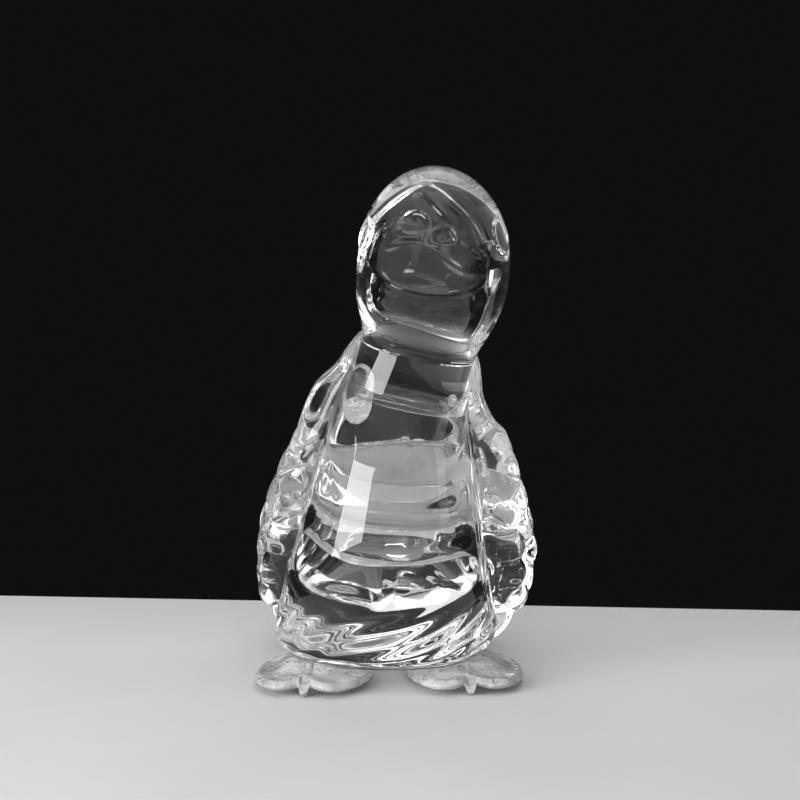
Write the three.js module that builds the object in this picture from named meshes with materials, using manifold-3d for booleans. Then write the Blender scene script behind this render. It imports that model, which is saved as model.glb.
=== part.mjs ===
// A standing duckling ornament in clear cast acrylic: a body, a head with its neck, two wings, a tail,
// two frosted feet and two eyes, each a separate casting, cemented together.
// Millimetres, +Z up. The duckling looks along -Y, so its own left side is +X.
import * as THREE from "three";
import Module from "manifold-3d";

const wasm = await Module();
wasm.setup();
const { clamp, smoothstep, lerp, degToRad } = THREE.MathUtils;

// Heights
const BODY_LIFT = 5; // underside of the body above the floor
const BODY_HEIGHT = 66; // underside of the body to the neck joint
const HEAD_HEIGHT = 59; // neck joint to the crown
const NECK_WAIST_RISE = 12.5; // neck joint to the narrowest part of the neck
const HEAD_BELLY_RISE = 34; // neck joint to the widest part of the head

// Body
const CHEST_WIDTH = 57; // across the chest at its foot
const CHEST_REACH = 25.5; // spine to the front of the belly
const RUMP_WIDTH = 63.4; // across the rump
const RUMP_REACH = 43; // spine to the back of the rump
const RUMP_SHELF = 19; // underside of the body to where the rump starts to draw in
const BACK_REACH = 24; // spine to the steep back over the rump, at its fullest
const BACK_HOLLOW = 47; // underside of the body to the foot of that steep back
const BACK_START = 2; // how far the back's sections reach ahead of the spine
const RUMP_RISE = 8; // underside of the body to the widest part of the rump
const BACK_RISE = 10; // neck joint to where the back sinks into the neck
const EDGE_ROUND = 8; // height of the rounding at the body's foot
const EDGE_INSET = 7.5; // how far that rounding draws the underside in
const CHEST_SQUARENESS = 2.2;
const BELLY_DROP = 0.8; // share of the chest's height from the waist to the fullest part of the belly
const WAIST_TURN = 0.06; // share of that height over which the neck turns into the chest
const BELLY_TURN = 0.5; // share of that drop over which the throat turns into the chest
const FLANK_SOFTNESS = 2.6; // rounding where the back meets the chest and the neck

// Spine
const BODY_LEAN = 6.2; // sideways drift of the spine
const NECK_SWING = 6.2; // further drift along the neck
const LEAN_RISE = 46; // neck joint to where the drift ends
const SWING_DROP = 9; // where the swing starts, below the neck joint
const SWING_RISE = 33; // where the swing ends, above the neck joint
const JOINT_TILT = 12; // degrees that the neck joint slopes down to the duckling's left
const TILT_DROP = 12; // where the tilt starts, below the neck joint
const TILT_RISE = 32.5; // where the tilt has gone, above the neck joint

// Neck and head
const NECK_WIDTH = 28.4;
const NECK_DEPTH = 27;
const HEAD_WIDTH = 38.4;
const HEAD_DEPTH = 39;
const CHEEK_SWELL = 1.6; // how soon the neck swells to the head
const CROWN_SQUARENESS = 2.1;
const BILL_WIDTH = 31;
const BILL_BROW_WIDTH = 10; // across the bill where it leaves the brow
const BILL_REACH = 33; // spine to the tip of the bill
const BILL_SUNK = 0.8; // share of the head's size to which the bill sinks
const BILL_TIP_RISE = 31.5; // neck joint to the tip of the bill
const BILL_CURVE = 4; // how far the rim of the bill rises from its tip to its corners
const BILL_BROW_RISE = 55; // neck joint to the brow
const BILL_DROP = 11.5; // tip of the bill to the throat
const BILL_SQUARENESS = 3.2;
const BILL_HOLLOW = 2.4; // how strongly the top of the bill hollows
const BILL_NOSE = 0.15; // share of the bill's height over which its tip rounds
const BILL_FLARE = 3; // how late the bill narrows on its way to the brow
const BILL_UNDERCUT = 0.7; // how fully the underside rounds
const BILL_PINCH = 0.15; // share of its width that the bill loses at the throat
const BILL_ROLL = 10; // degrees that the bill slopes down to the duckling's left
const BILL_SOFTNESS = 1.2; // rounding where the bill meets the head

// Eyes
const EYE_DIAMETER = 8.4;
const EYE_THICKNESS = 1.6;
const EYE_DOME = 0.5; // height of an eye's rounded face
const EYE_PROUD = 0.3; // how far the middle of an eye stands out of the head
const EYE_RISE = 42.7; // neck joint to the eyes
const EYE_SPREAD = 73; // degrees from the bill to each eye

// Wings
const WING_THICKNESS = 6.4;
const WING_TOP_RISE = 14.5; // neck joint to the top of the right shoulder
const SHOULDER_DROP = 0.4; // how far the left shoulder ends below that
const WING_BOTTOM_RISE = 4; // underside of the body to the wings' lower ends
const WING_FRONT = 10; // degrees behind the side of the body
const WING_BACK = 74; // degrees behind the side of the body
const WING_OUTLINE = 3.6; // squareness of the wing's outline
const WING_SWEEP = 0.8; // how far the shoulder leans forward and the lower end back
const WING_ROUND = 2.4; // squareness of the wing from front to back
const WING_FOOT_ROUND = 6; // squareness of its lower end
const WING_TOP_ROUND = 4.5; // squareness of its shoulder
const SCALE_WIDTH = 7.4;
const SCALE_PITCH = 7.6;
const SCALE_RELIEF = 1.2;
const SCALE_SLANT = 42; // degrees that the feathers point to the back
const SCALE_START = 22; // top of a wing to its first small feathers
const SHOULDER_RELIEF = 1.4;
const SHOULDER_LENGTH = 30; // long smooth feather at the top of a wing
const SHOULDER_WIDTH = 14;
const SHOULDER_OFFSET = 11; // front edge of the wing to the middle of that feather

// Tail
const TAIL_WIDTH = 20;
const TAIL_FAN_WIDTH = 24;
const TAIL_HEIGHT = 11; // at the root
const TAIL_TIP_HEIGHT = 3.4;
const TAIL_LENGTH = 14; // out of the rump
const TAIL_RISE = 11; // underside of the body to the middle of the root
const TAIL_UPTURN = 8;
const TAIL_FEATHERS = 5;
const TAIL_SCALLOP = 1.6; // how far the feathers' ends part
const TAIL_TAPER = 0.85; // how far the fan has closed at its tip

// Feet
const FOOT_WIDTH = 29.5;
const FOOT_LENGTH = 48;
const FOOT_EDGE = 2.8; // thickness at the rim
const FOOT_CROWN = 6.4; // height next to the body
const FOOT_SPACING = 37; // between the middles of the feet
const FOOT_OFFSET = 1.5; // middle between the feet, to the duckling's left of the spine
const FOOT_ADVANCE = 6.5; // middle of the right foot ahead of the spine
const STRIDE = 5; // how far the left foot is behind the right
const LEFT_SPLAY = 9; // degrees that the left toes turn out
const RIGHT_SPLAY = 3; // degrees that the right toes turn out
const WEB_NOTCH = 0.08; // share of the foot's length that the notch between the toes takes
const WEB_ARCH = 0.7; // how far the sole rises at that notch
const TOE_LIFT = 1.1; // height of the toes above the floor
const CLAW_WIDTH = 6.4; // small claw under the notch
const CLAW_LENGTH = 2.4; // how far that claw stands out of the web

const CEMENT = 0.3; // film of clear cement between two castings

// Levels
const BASE = BODY_LIFT;
const EDGE_TOP = BASE + EDGE_ROUND;
const JOINT = BASE + BODY_HEIGHT;
const WAIST = JOINT + NECK_WAIST_RISE;
const HEAD_BELLY = JOINT + HEAD_BELLY_RISE;
const CROWN = JOINT + HEAD_HEIGHT;
const RUMP = BASE + RUMP_RISE;
const BACK_TOP = JOINT + BACK_RISE;
const FULL_TURN = 2 * Math.PI;
const QUARTER_TURN = Math.PI / 2;
const UP = new THREE.Vector3(0, 0, 1);
const LEFT = 1;
const RIGHT = -1;

const CLEAR = { color: 0xf2f6f7, roughness: 0.03, metalness: 0, transparent: true, opacity: 0.35 };
const FROSTED = { color: 0xe4e7e6, roughness: 0.45, metalness: 0, transparent: true, opacity: 0.7 };

// The larger of two radii, with the corner between them rounded where they are nearly alike.
function softMax(a, b, softness) {
  const near = Math.max(0, softness - Math.abs(a - b));
  return Math.max(a, b) + near ** 2 / (4 * softness);
}

// Radius of a superellipse with those half-axes in the direction of an angle.
function superellipse(angle, across, along, squareness) {
  const c = Math.abs(Math.cos(angle)) / across;
  const s = Math.abs(Math.sin(angle)) / along;
  return (c ** squareness + s ** squareness) ** (-1 / squareness);
}

// Distance from the spine to an ellipse whose middle lies set back from the spine.
function setBackEllipse(angle, across, along, setback) {
  const c = Math.cos(angle);
  const s = Math.sin(angle);
  const square = (c / across) ** 2 + (s / along) ** 2;
  const slope = (setback * s) / along ** 2;
  const rest = 1 - (setback / along) ** 2;
  return (slope + Math.sqrt(slope ** 2 + square * rest)) / square;
}

// Sideways place of the spine at a level.
function spine(level) {
  const lean = BODY_LEAN * smoothstep(level, 0, JOINT + LEAN_RISE);
  const swing = NECK_SWING * smoothstep(level, JOINT - SWING_DROP, JOINT + SWING_RISE);
  return lean + swing;
}

// Slope of the level sections: flat at the foot, tilted at the neck joint, flat again in the head.
function tilt(level) {
  const rising = smoothstep(level, JOINT - TILT_DROP, JOINT - 2 * CEMENT);
  const falling = 1 - smoothstep(level, WAIST, JOINT + TILT_RISE);
  return Math.tan(degToRad(JOINT_TILT)) * rising * falling;
}

// Chest and neck below the waist: a straight taper with a soft turn at the waist and a round belly.
function chestRadius(angle, level) {
  const down = (WAIST - level) / (WAIST - EDGE_TOP);
  const taper = (Math.hypot(down, WAIST_TURN) - WAIST_TURN) / (Math.hypot(1, WAIST_TURN) - WAIST_TURN);
  const across = lerp(NECK_WIDTH, CHEST_WIDTH, taper) / 2;
  const drop = Math.min(1, down / BELLY_DROP);
  const belly = (1 - (1 - drop) ** 2) * smoothstep(drop, 0, BELLY_TURN);
  const front = lerp(NECK_DEPTH / 2, CHEST_REACH, belly);
  const back = NECK_DEPTH / 2;
  return superellipse(angle, across, Math.sin(angle) < 0 ? front : back, CHEST_SQUARENESS);
}

// Back and rump: a dome in its width, and a steep back that steps out to a full rump.
function rumpRadius(angle, level) {
  const up = Math.max(0, (level - RUMP) / (BACK_TOP - RUMP));
  const thinnest = 0.0004;
  const dome = Math.sqrt(Math.max(thinnest, 1 - up ** 2));
  const bulge = 1 - smoothstep(level, BASE + RUMP_SHELF, BASE + BACK_HOLLOW);
  const back = lerp(BACK_REACH * dome, RUMP_REACH, bulge);
  const front = BACK_START * dome;
  return setBackEllipse(angle, (RUMP_WIDTH / 2) * dome, (back + front) / 2, (back - front) / 2);
}

// Egg of the head above the waist of the neck.
function headRadius(angle, level) {
  const below = smoothstep(((HEAD_BELLY - level) / (HEAD_BELLY - WAIST)) ** CHEEK_SWELL, 0, 1);
  const above = Math.min(1, (level - HEAD_BELLY) / (CROWN - HEAD_BELLY));
  const swell = level > HEAD_BELLY ? Math.sqrt(1 - above ** CROWN_SQUARENESS) : 1;
  const across = level > HEAD_BELLY ? HEAD_WIDTH * swell : lerp(HEAD_WIDTH, NECK_WIDTH, below);
  const deep = level > HEAD_BELLY ? HEAD_DEPTH * swell : lerp(HEAD_DEPTH, NECK_DEPTH, below);
  return superellipse(angle, across / 2, deep / 2, 2);
}

// Bill: a ramp from the brow to a broad curved rim, rounded under to the throat and rolled to one side.
function billRadius(angle, level, head) {
  const side = head * Math.cos(angle);
  const rolled = level + Math.tan(degToRad(BILL_ROLL)) * side;
  const curve = BILL_CURVE * (side / (BILL_WIDTH / 2)) ** 2;
  const tip = JOINT + BILL_TIP_RISE + curve;
  const climb = clamp((rolled - tip) / (JOINT + BILL_BROW_RISE - tip), 0, 1);
  const ramp = (Math.hypot(climb, BILL_NOSE) - BILL_NOSE) / (Math.hypot(1, BILL_NOSE) - BILL_NOSE);
  const fall = clamp((tip - rolled) / (BILL_DROP + curve), 0, 1);
  const keep = (1 - ramp) ** BILL_HOLLOW * (1 - fall ** 2) ** BILL_UNDERCUT;
  const sunk = BILL_SUNK * head;
  const reach = lerp(sunk, BILL_REACH, keep);
  const width = lerp(BILL_WIDTH, BILL_BROW_WIDTH, climb ** BILL_FLARE) * (1 - BILL_PINCH * fall ** 2);
  return superellipse(angle, Math.min(width / 2, sunk), Math.sin(angle) < 0 ? reach : sunk, BILL_SQUARENESS);
}

// Radius of the whole skin, from the underside of the body to the crown.
function skinRadius(angle, level) {
  if (level >= WAIST) {
    const head = headRadius(angle, level);
    return softMax(head, billRadius(angle, level, head), BILL_SOFTNESS);
  }
  const held = Math.max(level, EDGE_TOP);
  const full = softMax(chestRadius(angle, held), rumpRadius(angle, held), FLANK_SOFTNESS);
  const round = Math.min(1, (EDGE_TOP - Math.min(level, EDGE_TOP)) / EDGE_ROUND);
  return full - EDGE_INSET * (1 - Math.sqrt(1 - round ** 2));
}

// A point of the skin, or one that stands out of it by a distance.
function skin(angle, level, out = 0) {
  const radius = skinRadius(angle, level) + out;
  const x = radius * Math.cos(angle);
  return new THREE.Vector3(spine(level) + x, radius * Math.sin(angle), level - tilt(level) * x);
}

// One closed surface from rings of points that run anticlockwise seen from the last ring.
// The first and last rings are single points.
function closedSurface(rings) {
  const points = rings.flat();
  const faces = [];
  let start = 0;
  for (let i = 0; i + 1 < rings.length; i++) {
    const next = start + rings[i].length;
    const around = Math.max(rings[i].length, rings[i + 1].length);
    for (let k = 0; k < around; k++) {
      const after = (k + 1) % around;
      if (i > 0) faces.push(start + k, start + after, next + (i + 2 < rings.length ? after : 0));
      if (i + 2 < rings.length) faces.push(i > 0 ? start + k : start, next + after, next + k);
    }
    start = next;
  }
  return new THREE.BufferGeometry().setFromPoints(points).setIndex(faces);
}

function range(count) {
  return [...Array(count).keys()];
}

// Rings of the skin at a list of levels, closed by flat ends at the first and last.
function trunk(levels, ringCount) {
  const ring = (level) => range(ringCount).map((k) => skin((FULL_TURN * k) / ringCount, level));
  const middle = (level) => [new THREE.Vector3(spine(level), 0, level)];
  return closedSurface([middle(levels[0]), ...levels.map(ring), middle(levels.at(-1))]);
}

function bodyGeometry() {
  const roundSteps = 5;
  const wallSteps = 28;
  const top = JOINT - CEMENT;
  const turns = range(roundSteps).map((i) => (QUARTER_TURN * i) / roundSteps);
  const rounding = turns.map((turn) => EDGE_TOP - EDGE_ROUND * Math.cos(turn));
  const wall = range(wallSteps + 1).map((i) => lerp(EDGE_TOP, top, i / wallSteps));
  const ringCount = 108;
  return trunk([...rounding, ...wall], ringCount);
}

function headGeometry() {
  const neckSteps = 34;
  const crownSteps = 11;
  const neck = range(neckSteps).map((i) => lerp(JOINT, HEAD_BELLY, i / neckSteps));
  const turns = range(crownSteps).map((i) => (QUARTER_TURN * i) / crownSteps);
  const crown = turns.map((turn) => lerp(HEAD_BELLY, CROWN, Math.sin(turn)));
  const ringCount = 64;
  return trunk([...neck, ...crown], ringCount);
}

// Height of the carved feathers at a distance behind the wing's front edge and one down from its top.
function featherRelief(behind, down) {
  const slant = degToRad(SCALE_SLANT);
  const along = behind * Math.sin(slant) + down * Math.cos(slant);
  const across = behind * Math.cos(slant) - down * Math.sin(slant);
  const shoulderAcross = (behind - SHOULDER_OFFSET) / (SHOULDER_WIDTH / 2);
  const shoulderAlong = (2 * down) / SHOULDER_LENGTH - 1;
  let height = SHOULDER_RELIEF * Math.sqrt(Math.max(0, 1 - shoulderAcross ** 2 - shoulderAlong ** 2));
  const begun = smoothstep(down, SCALE_START, SCALE_START + SCALE_PITCH / 2);
  const row = Math.floor(along / SCALE_PITCH);
  for (const i of [row - 1, row, row + 1]) {
    const shift = (i % 2 === 0 ? 0 : 0.5) * SCALE_WIDTH;
    const middle = Math.round((across - shift) / SCALE_WIDTH) * SCALE_WIDTH + shift;
    const past = along - i * SCALE_PITCH;
    const side = (across - middle) / (SCALE_WIDTH / 2);
    const end = past / SCALE_PITCH - 0.3;
    const tip = Math.max(0, end) ** 2;
    const lift = clamp(0.35 + 0.65 * (past / SCALE_PITCH), 0, 1);
    const round = Math.sqrt(Math.max(0, 1 - Math.abs(side) ** 3 - tip));
    height = Math.max(height, begun * SCALE_RELIEF * lift * round);
  }
  return height;
}

// A pad that lies on the skin, in rings from its lower end to its upper end.
// A place in it is a share p of its half-width and a share q of its half-height.
function skinPad(middleAngle, halfAngle, lean, bottom, top, thickness) {
  const rowCount = 44;
  const outerCount = 22;
  const innerCount = 24;
  const rings = range(rowCount + 1).map((j) => {
    const q = -Math.cos((Math.PI * j) / rowCount);
    const level = lerp(bottom, top, (q + 1) / 2);
    const reach = halfAngle * (1 - Math.abs(q) ** WING_OUTLINE) ** (1 / WING_OUTLINE);
    const swept = -lean * q * (halfAngle - reach);
    const outer = range(outerCount).map((k) => {
      const p = -Math.cos((Math.PI * k) / outerCount);
      const turn = swept + reach * p;
      return skin(middleAngle + turn, level, CEMENT + thickness(p, q, turn, level));
    });
    const inner = range(innerCount).map((k) => {
      const p = 1 - (2 * k) / innerCount;
      return skin(middleAngle + swept + reach * p, level, CEMENT);
    });
    return j === 0 || j === rowCount ? [skin(middleAngle + swept, level, CEMENT)] : [...outer, ...inner];
  });
  return closedSurface(rings);
}

// Pillow that falls to nothing at the rim of a wing, slowly towards its shoulder.
function pillow(p, q) {
  const across = 1 - Math.abs(p) ** WING_ROUND;
  const along = 1 - Math.abs(q) ** (q > 0 ? WING_TOP_ROUND : WING_FOOT_ROUND);
  return Math.sqrt(Math.max(0, across * along));
}

function wingGeometry(side) {
  const half = degToRad(WING_BACK - WING_FRONT) / 2;
  const middle = degToRad(WING_BACK + WING_FRONT) / 2;
  const bottom = BASE + WING_BOTTOM_RISE;
  const top = JOINT + WING_TOP_RISE - (side > 0 ? SHOULDER_DROP : 0);
  const meanRadius = RUMP_WIDTH / 2;
  const thickness = (p, q, turn, level) => {
    const behind = meanRadius * (half + side * turn);
    return pillow(p, q) * (WING_THICKNESS - SCALE_RELIEF + featherRelief(behind, top - level));
  };
  return skinPad(side > 0 ? middle : Math.PI - middle, half, side * WING_SWEEP, bottom, top, thickness);
}

// Place of an eye on the head: its middle on the skin and the way that it looks.
function eyePlace(side) {
  const level = JOINT + EYE_RISE;
  const angle = -QUARTER_TURN + side * degToRad(EYE_SPREAD);
  const step = 0.05;
  const middle = skin(angle, level);
  const round = skin(angle + step, level).sub(skin(angle - step, level));
  const up = skin(angle, level + 1).sub(skin(angle, level - 1));
  return new THREE.Matrix4()
    .makeRotationFromQuaternion(new THREE.Quaternion().setFromUnitVectors(UP, round.cross(up).normalize()))
    .setPosition(middle);
}

// A round plug with a domed face, from its floor up to the start of the dome.
function plug(radius, floor, shoulder, dome) {
  const ringCount = 24;
  const steps = 4;
  const ring = (r, z) => range(ringCount).map((k) => {
    const angle = (FULL_TURN * k) / ringCount;
    return new THREE.Vector3(r * Math.cos(angle), r * Math.sin(angle), z);
  });
  const face = range(steps).map((i) => {
    const angle = (QUARTER_TURN * i) / steps;
    return ring(radius * Math.cos(angle), shoulder + dome * Math.sin(angle));
  });
  return closedSurface([
    [new THREE.Vector3(0, 0, floor)],
    ring(radius, floor),
    ...face,
    [new THREE.Vector3(0, 0, shoulder + dome)],
  ]);
}

function eyeGeometry(side) {
  const shoulder = EYE_PROUD - EYE_DOME;
  return plug(EYE_DIAMETER / 2, EYE_PROUD - EYE_THICKNESS, shoulder, EYE_DOME).applyMatrix4(eyePlace(side));
}

// Socket that takes an eye with its cement all round.
function eyeSocket(side) {
  const floor = EYE_PROUD - EYE_THICKNESS - CEMENT;
  return plug(EYE_DIAMETER / 2 + CEMENT, floor, EYE_DIAMETER / 2, EYE_DOME).applyMatrix4(eyePlace(side));
}

function solid(geometry) {
  return new wasm.Manifold(
    new wasm.Mesh({
      numProp: 3,
      vertProperties: new Float32Array(geometry.attributes.position.array),
      triVerts: new Uint32Array(geometry.index.array),
    }),
  );
}

function withSockets(geometry) {
  const cut = [LEFT, RIGHT].reduce((rest, side) => rest.subtract(solid(eyeSocket(side))), solid(geometry));
  const mesh = cut.getMesh();
  return new THREE.BufferGeometry()
    .setAttribute("position", new THREE.BufferAttribute(mesh.vertProperties, 3))
    .setIndex([...mesh.triVerts]);
}

// The place on the skin, plus the cement, straight behind a point given by its side offset and level.
function rumpBehind(offset, level) {
  let near = 0;
  let far = 2 * RUMP_REACH;
  for (let i = 0; i < 40; i++) {
    const y = (near + far) / 2;
    const inside = Math.hypot(offset, y) < skinRadius(Math.atan2(y, offset), level) + CEMENT;
    if (inside) near = y;
    else far = y;
  }
  return far;
}

// Tail: a fan of feathers with an oval root that follows the rump.
function tailGeometry() {
  const ringCount = 30;
  const capRings = 3;
  const lengthRings = 8;
  const rootLevel = BASE + TAIL_RISE;
  const oval = (share, k) => {
    const angle = (FULL_TURN * k) / ringCount;
    return [share * Math.cos(angle), share * Math.sin(angle)];
  };
  const onRump = (share) => (k) => {
    const [across, up] = oval(share, k);
    const x = (across * TAIL_WIDTH) / 2;
    const z = rootLevel + (up * TAIL_HEIGHT) / 2;
    return new THREE.Vector3(spine(rootLevel) + x, rumpBehind(x, z), z);
  };
  const rump = rumpBehind(0, rootLevel);
  const along = (share) => (k) => {
    const [across, up] = oval(1, k);
    const root = onRump(1)(k);
    const close = Math.sqrt(1 - TAIL_TAPER * share ** 5);
    const width = lerp(TAIL_WIDTH, TAIL_FAN_WIDTH, share) * lerp(1, close, 0.55);
    const height = lerp(TAIL_HEIGHT, TAIL_TIP_HEIGHT, smoothstep(share, 0, 1)) * close;
    const lobes = Math.abs(Math.cos(TAIL_FEATHERS * QUARTER_TURN * across)) - 1;
    const straight = rump + TAIL_LENGTH * share + TAIL_SCALLOP * share ** 2 * lobes;
    const y = lerp(root.y, straight, smoothstep(share, 0, 0.5));
    const z = rootLevel + TAIL_UPTURN * share ** 1.5 + (up * height) / 2;
    return new THREE.Vector3(spine(rootLevel) + (across * width) / 2, y, z);
  };
  const ring = (at) => range(ringCount).map((k) => at(k));
  const cap = range(capRings).map((i) => ring(onRump((i + 1) / capRings)));
  const sides = range(lengthRings).map((i) => ring(along((i + 1) / lengthRings)));
  const start = [new THREE.Vector3(spine(rootLevel), rumpBehind(0, rootLevel), rootLevel)];
  const end = [new THREE.Vector3(spine(rootLevel), rump + TAIL_LENGTH, rootLevel + TAIL_UPTURN)];
  const rings = [start, ...cap, ...sides, end];
  return closedSurface(rings.map((points) => [...points].reverse()));
}

// Outline of a webbed foot as a share of its half-length, by the angle from the toes.
function footOutline(angle) {
  const heel = 0.22 * smoothstep(-Math.cos(angle), -0.1, 0.8);
  const notch = 2 * WEB_NOTCH * Math.exp(-((angle / 0.3) ** 2));
  const claw = ((2 * CLAW_LENGTH) / FOOT_LENGTH) * clawShare(angle);
  return 1 - heel - notch + claw;
}

// How much of the claw stands at an angle from the toes.
function clawShare(angle) {
  const across = (angle * FOOT_LENGTH) / 2;
  return Math.exp(-((across / (CLAW_WIDTH / 2)) ** 2));
}

// Underside of the body above a place, or infinity beyond the body.
function bodyUnderside(x, y) {
  const offset = x - spine(BASE);
  const angle = Math.atan2(y, offset);
  const full = skinRadius(angle, EDGE_TOP);
  const within = 1 - (full - Math.hypot(offset, y)) / EDGE_INSET;
  if (within > 1) return Infinity;
  return within < 0 ? BASE : EDGE_TOP - EDGE_ROUND * Math.sqrt(1 - within ** 2);
}

function footGeometry(side) {
  const ringCount = 44;
  const outline = (k) => {
    const turn = FULL_TURN * (k / ringCount - 0.5);
    return turn - 0.55 * Math.sin(turn);
  };
  const halfWidths = range(ringCount).map((k) => Math.sin(outline(k)) * footOutline(outline(k)));
  const widest = Math.max(...halfWidths);
  const middleX = spine(BASE) + FOOT_OFFSET + (side * FOOT_SPACING) / 2;
  const middleY = -FOOT_ADVANCE + (side > 0 ? STRIDE : 0);
  const splay = degToRad(side > 0 ? LEFT_SPLAY : -RIGHT_SPLAY);
  const solePart = 0.84;
  const rim = FOOT_EDGE / 2;
  const place = (share, k) => {
    const angle = outline(k);
    const across = (share * footOutline(angle) * Math.sin(angle) * FOOT_WIDTH) / 2 / widest;
    const along = (-share * footOutline(angle) * Math.cos(angle) * FOOT_LENGTH) / 2;
    const x = middleX + across * Math.cos(splay) - along * Math.sin(splay);
    const y = middleY + across * Math.sin(splay) + along * Math.cos(splay);
    return [x, y, angle];
  };
  const webLift = (share, angle) => {
    const arch = WEB_ARCH * Math.exp(-((angle / 0.32) ** 2));
    const toes = TOE_LIFT * smoothstep(Math.cos(angle), 0.1, 0.7);
    const claw = clawShare(angle) * smoothstep(share, 0.7, 0.95);
    return (arch + toes) * smoothstep(share, 0.55, 0.95) * (1 - claw);
  };
  const sole = (share, k) => {
    const [x, y, angle] = place(share, k);
    const beyond = Math.max(0, (share - solePart) / (1 - solePart));
    const bull = rim * (1 - Math.sqrt(1 - beyond ** 2));
    return new THREE.Vector3(x, y, bull + webLift(share, angle));
  };
  const upper = (share, k) => {
    const [x, y, angle] = place(share, k);
    const slope = smoothstep(share, 0.25, 1);
    const claw = clawShare(angle) * smoothstep(share, 0.85, 1);
    const free = lerp(FOOT_CROWN, FOOT_EDGE, slope) - 0.5 * claw;
    const bull = Math.sqrt(1 - share ** 8);
    const top = Math.min(free + webLift(share, angle), bodyUnderside(x, y) - CEMENT);
    const low = rim + webLift(share, angle);
    return new THREE.Vector3(x, y, low + (top - low) * bull);
  };
  const ring = (at, share) => range(ringCount).map((k) => at(share, k));
  const soleShares = [0.5, solePart, 0.93, 0.98];
  const upperShares = [1, 0.98, 0.93, 0.8, 0.65, 0.5, 0.35, 0.18];
  const rings = [
    [sole(0, 0)],
    ...soleShares.map((share) => ring(sole, share)),
    ...upperShares.map((share) => ring(upper, share)),
    [upper(0, 0)],
  ];
  return closedSurface(rings);
}

function casting(name, geometry, finish) {
  const material = new THREE.MeshStandardMaterial(finish);
  geometry.computeVertexNormals();
  const mesh = new THREE.Mesh(geometry, material);
  mesh.name = name;
  return mesh;
}

const figure = new THREE.Group();
figure.add(
  casting("body", bodyGeometry(), CLEAR),
  casting("head", withSockets(headGeometry()), CLEAR),
  casting("wing_left", wingGeometry(LEFT), CLEAR),
  casting("wing_right", wingGeometry(RIGHT), CLEAR),
  casting("tail", tailGeometry(), CLEAR),
  casting("eye_left", eyeGeometry(LEFT), CLEAR),
  casting("eye_right", eyeGeometry(RIGHT), CLEAR),
  casting("foot_left", footGeometry(LEFT), FROSTED),
  casting("foot_right", footGeometry(RIGHT), FROSTED),
);

// The origin is the middle of the figure's footprint, on the floor.
const extent = new THREE.Box3().setFromObject(figure);
const middle = extent.getCenter(new THREE.Vector3());
figure.position.set(-middle.x, -middle.y, 0);

const duckling = new THREE.Group();
duckling.add(figure);
export default duckling;
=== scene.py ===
"""Clear cast duckling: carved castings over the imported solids, frosted feet, a pale floor and soft light."""

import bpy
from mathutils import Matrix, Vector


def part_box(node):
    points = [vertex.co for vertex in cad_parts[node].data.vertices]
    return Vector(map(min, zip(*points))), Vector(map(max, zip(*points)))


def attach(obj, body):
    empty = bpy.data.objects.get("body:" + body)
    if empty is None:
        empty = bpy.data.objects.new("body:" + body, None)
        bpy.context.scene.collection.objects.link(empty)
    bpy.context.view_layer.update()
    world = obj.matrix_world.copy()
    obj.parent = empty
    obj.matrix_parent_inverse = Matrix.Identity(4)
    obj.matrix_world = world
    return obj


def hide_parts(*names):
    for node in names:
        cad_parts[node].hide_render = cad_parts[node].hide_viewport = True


bl_info = {
    "name": "Clear duckling figurine",
    "version": (1, 0, 0),
    "blender": (4, 5, 0),
    "location": "View3D > Sidebar > Duckling",
    "description": "Builds the clear castings, the frosted feet and the stage of the duckling figurine",
    "category": "Object",
}

import math

import bpy
import numpy as np
from bpy.props import FloatProperty, FloatVectorProperty, PointerProperty
from mathutils import Vector

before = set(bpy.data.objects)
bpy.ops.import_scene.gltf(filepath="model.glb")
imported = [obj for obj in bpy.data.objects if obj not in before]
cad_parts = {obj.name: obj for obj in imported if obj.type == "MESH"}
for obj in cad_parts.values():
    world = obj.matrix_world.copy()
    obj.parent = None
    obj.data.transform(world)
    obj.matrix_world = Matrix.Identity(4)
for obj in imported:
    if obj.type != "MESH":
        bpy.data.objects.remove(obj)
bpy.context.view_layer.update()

# The castings' sizes as in the solids: millimetres, degrees, and plain shares and powers
BODY_LIFT = 5.0
BODY_HEIGHT = 66.0
HEAD_HEIGHT = 59.0
NECK_WAIST_RISE = 12.5
HEAD_BELLY_RISE = 34.0
CHEST_WIDTH = 57.0
CHEST_REACH = 25.5
RUMP_WIDTH = 63.4
RUMP_REACH = 43.0
RUMP_SHELF = 19.0
BACK_REACH = 24.0
BACK_HOLLOW = 47.0
BACK_START = 2.0
RUMP_RISE = 8.0
BACK_RISE = 10.0
EDGE_ROUND = 8.0
EDGE_INSET = 7.5
CHEST_SQUARENESS = 2.2
BELLY_DROP = 0.8
WAIST_TURN = 0.06
BELLY_TURN = 0.5
FLANK_SOFTNESS = 2.6
BODY_LEAN = 6.2
NECK_SWING = 6.2
LEAN_RISE = 46.0
SWING_DROP = 9.0
SWING_RISE = 33.0
JOINT_TILT = 12.0
TILT_DROP = 12.0
TILT_RISE = 32.5
TILT_FULL_DROP = 0.6
NECK_WIDTH = 28.4
NECK_DEPTH = 27.0
HEAD_WIDTH = 38.4
HEAD_DEPTH = 39.0
CHEEK_SWELL = 1.6
CROWN_SQUARENESS = 2.1
BILL_WIDTH = 31.0
BILL_BROW_WIDTH = 10.0
BILL_REACH = 33.0
BILL_SUNK = 0.8
BILL_TIP_RISE = 31.5
BILL_CURVE = 4.0
BILL_BROW_RISE = 55.0
BILL_DROP = 11.5
BILL_SQUARENESS = 3.2
BILL_HOLLOW = 2.4
BILL_NOSE = 0.15
BILL_FLARE = 3.0
BILL_UNDERCUT = 0.7
BILL_PINCH = 0.15
BILL_ROLL = 10.0
BILL_SOFTNESS = 1.2
EYE_DIAMETER = 8.4
EYE_DOME = 0.5
EYE_PROUD = 0.3
EYE_RISE = 42.7
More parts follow.
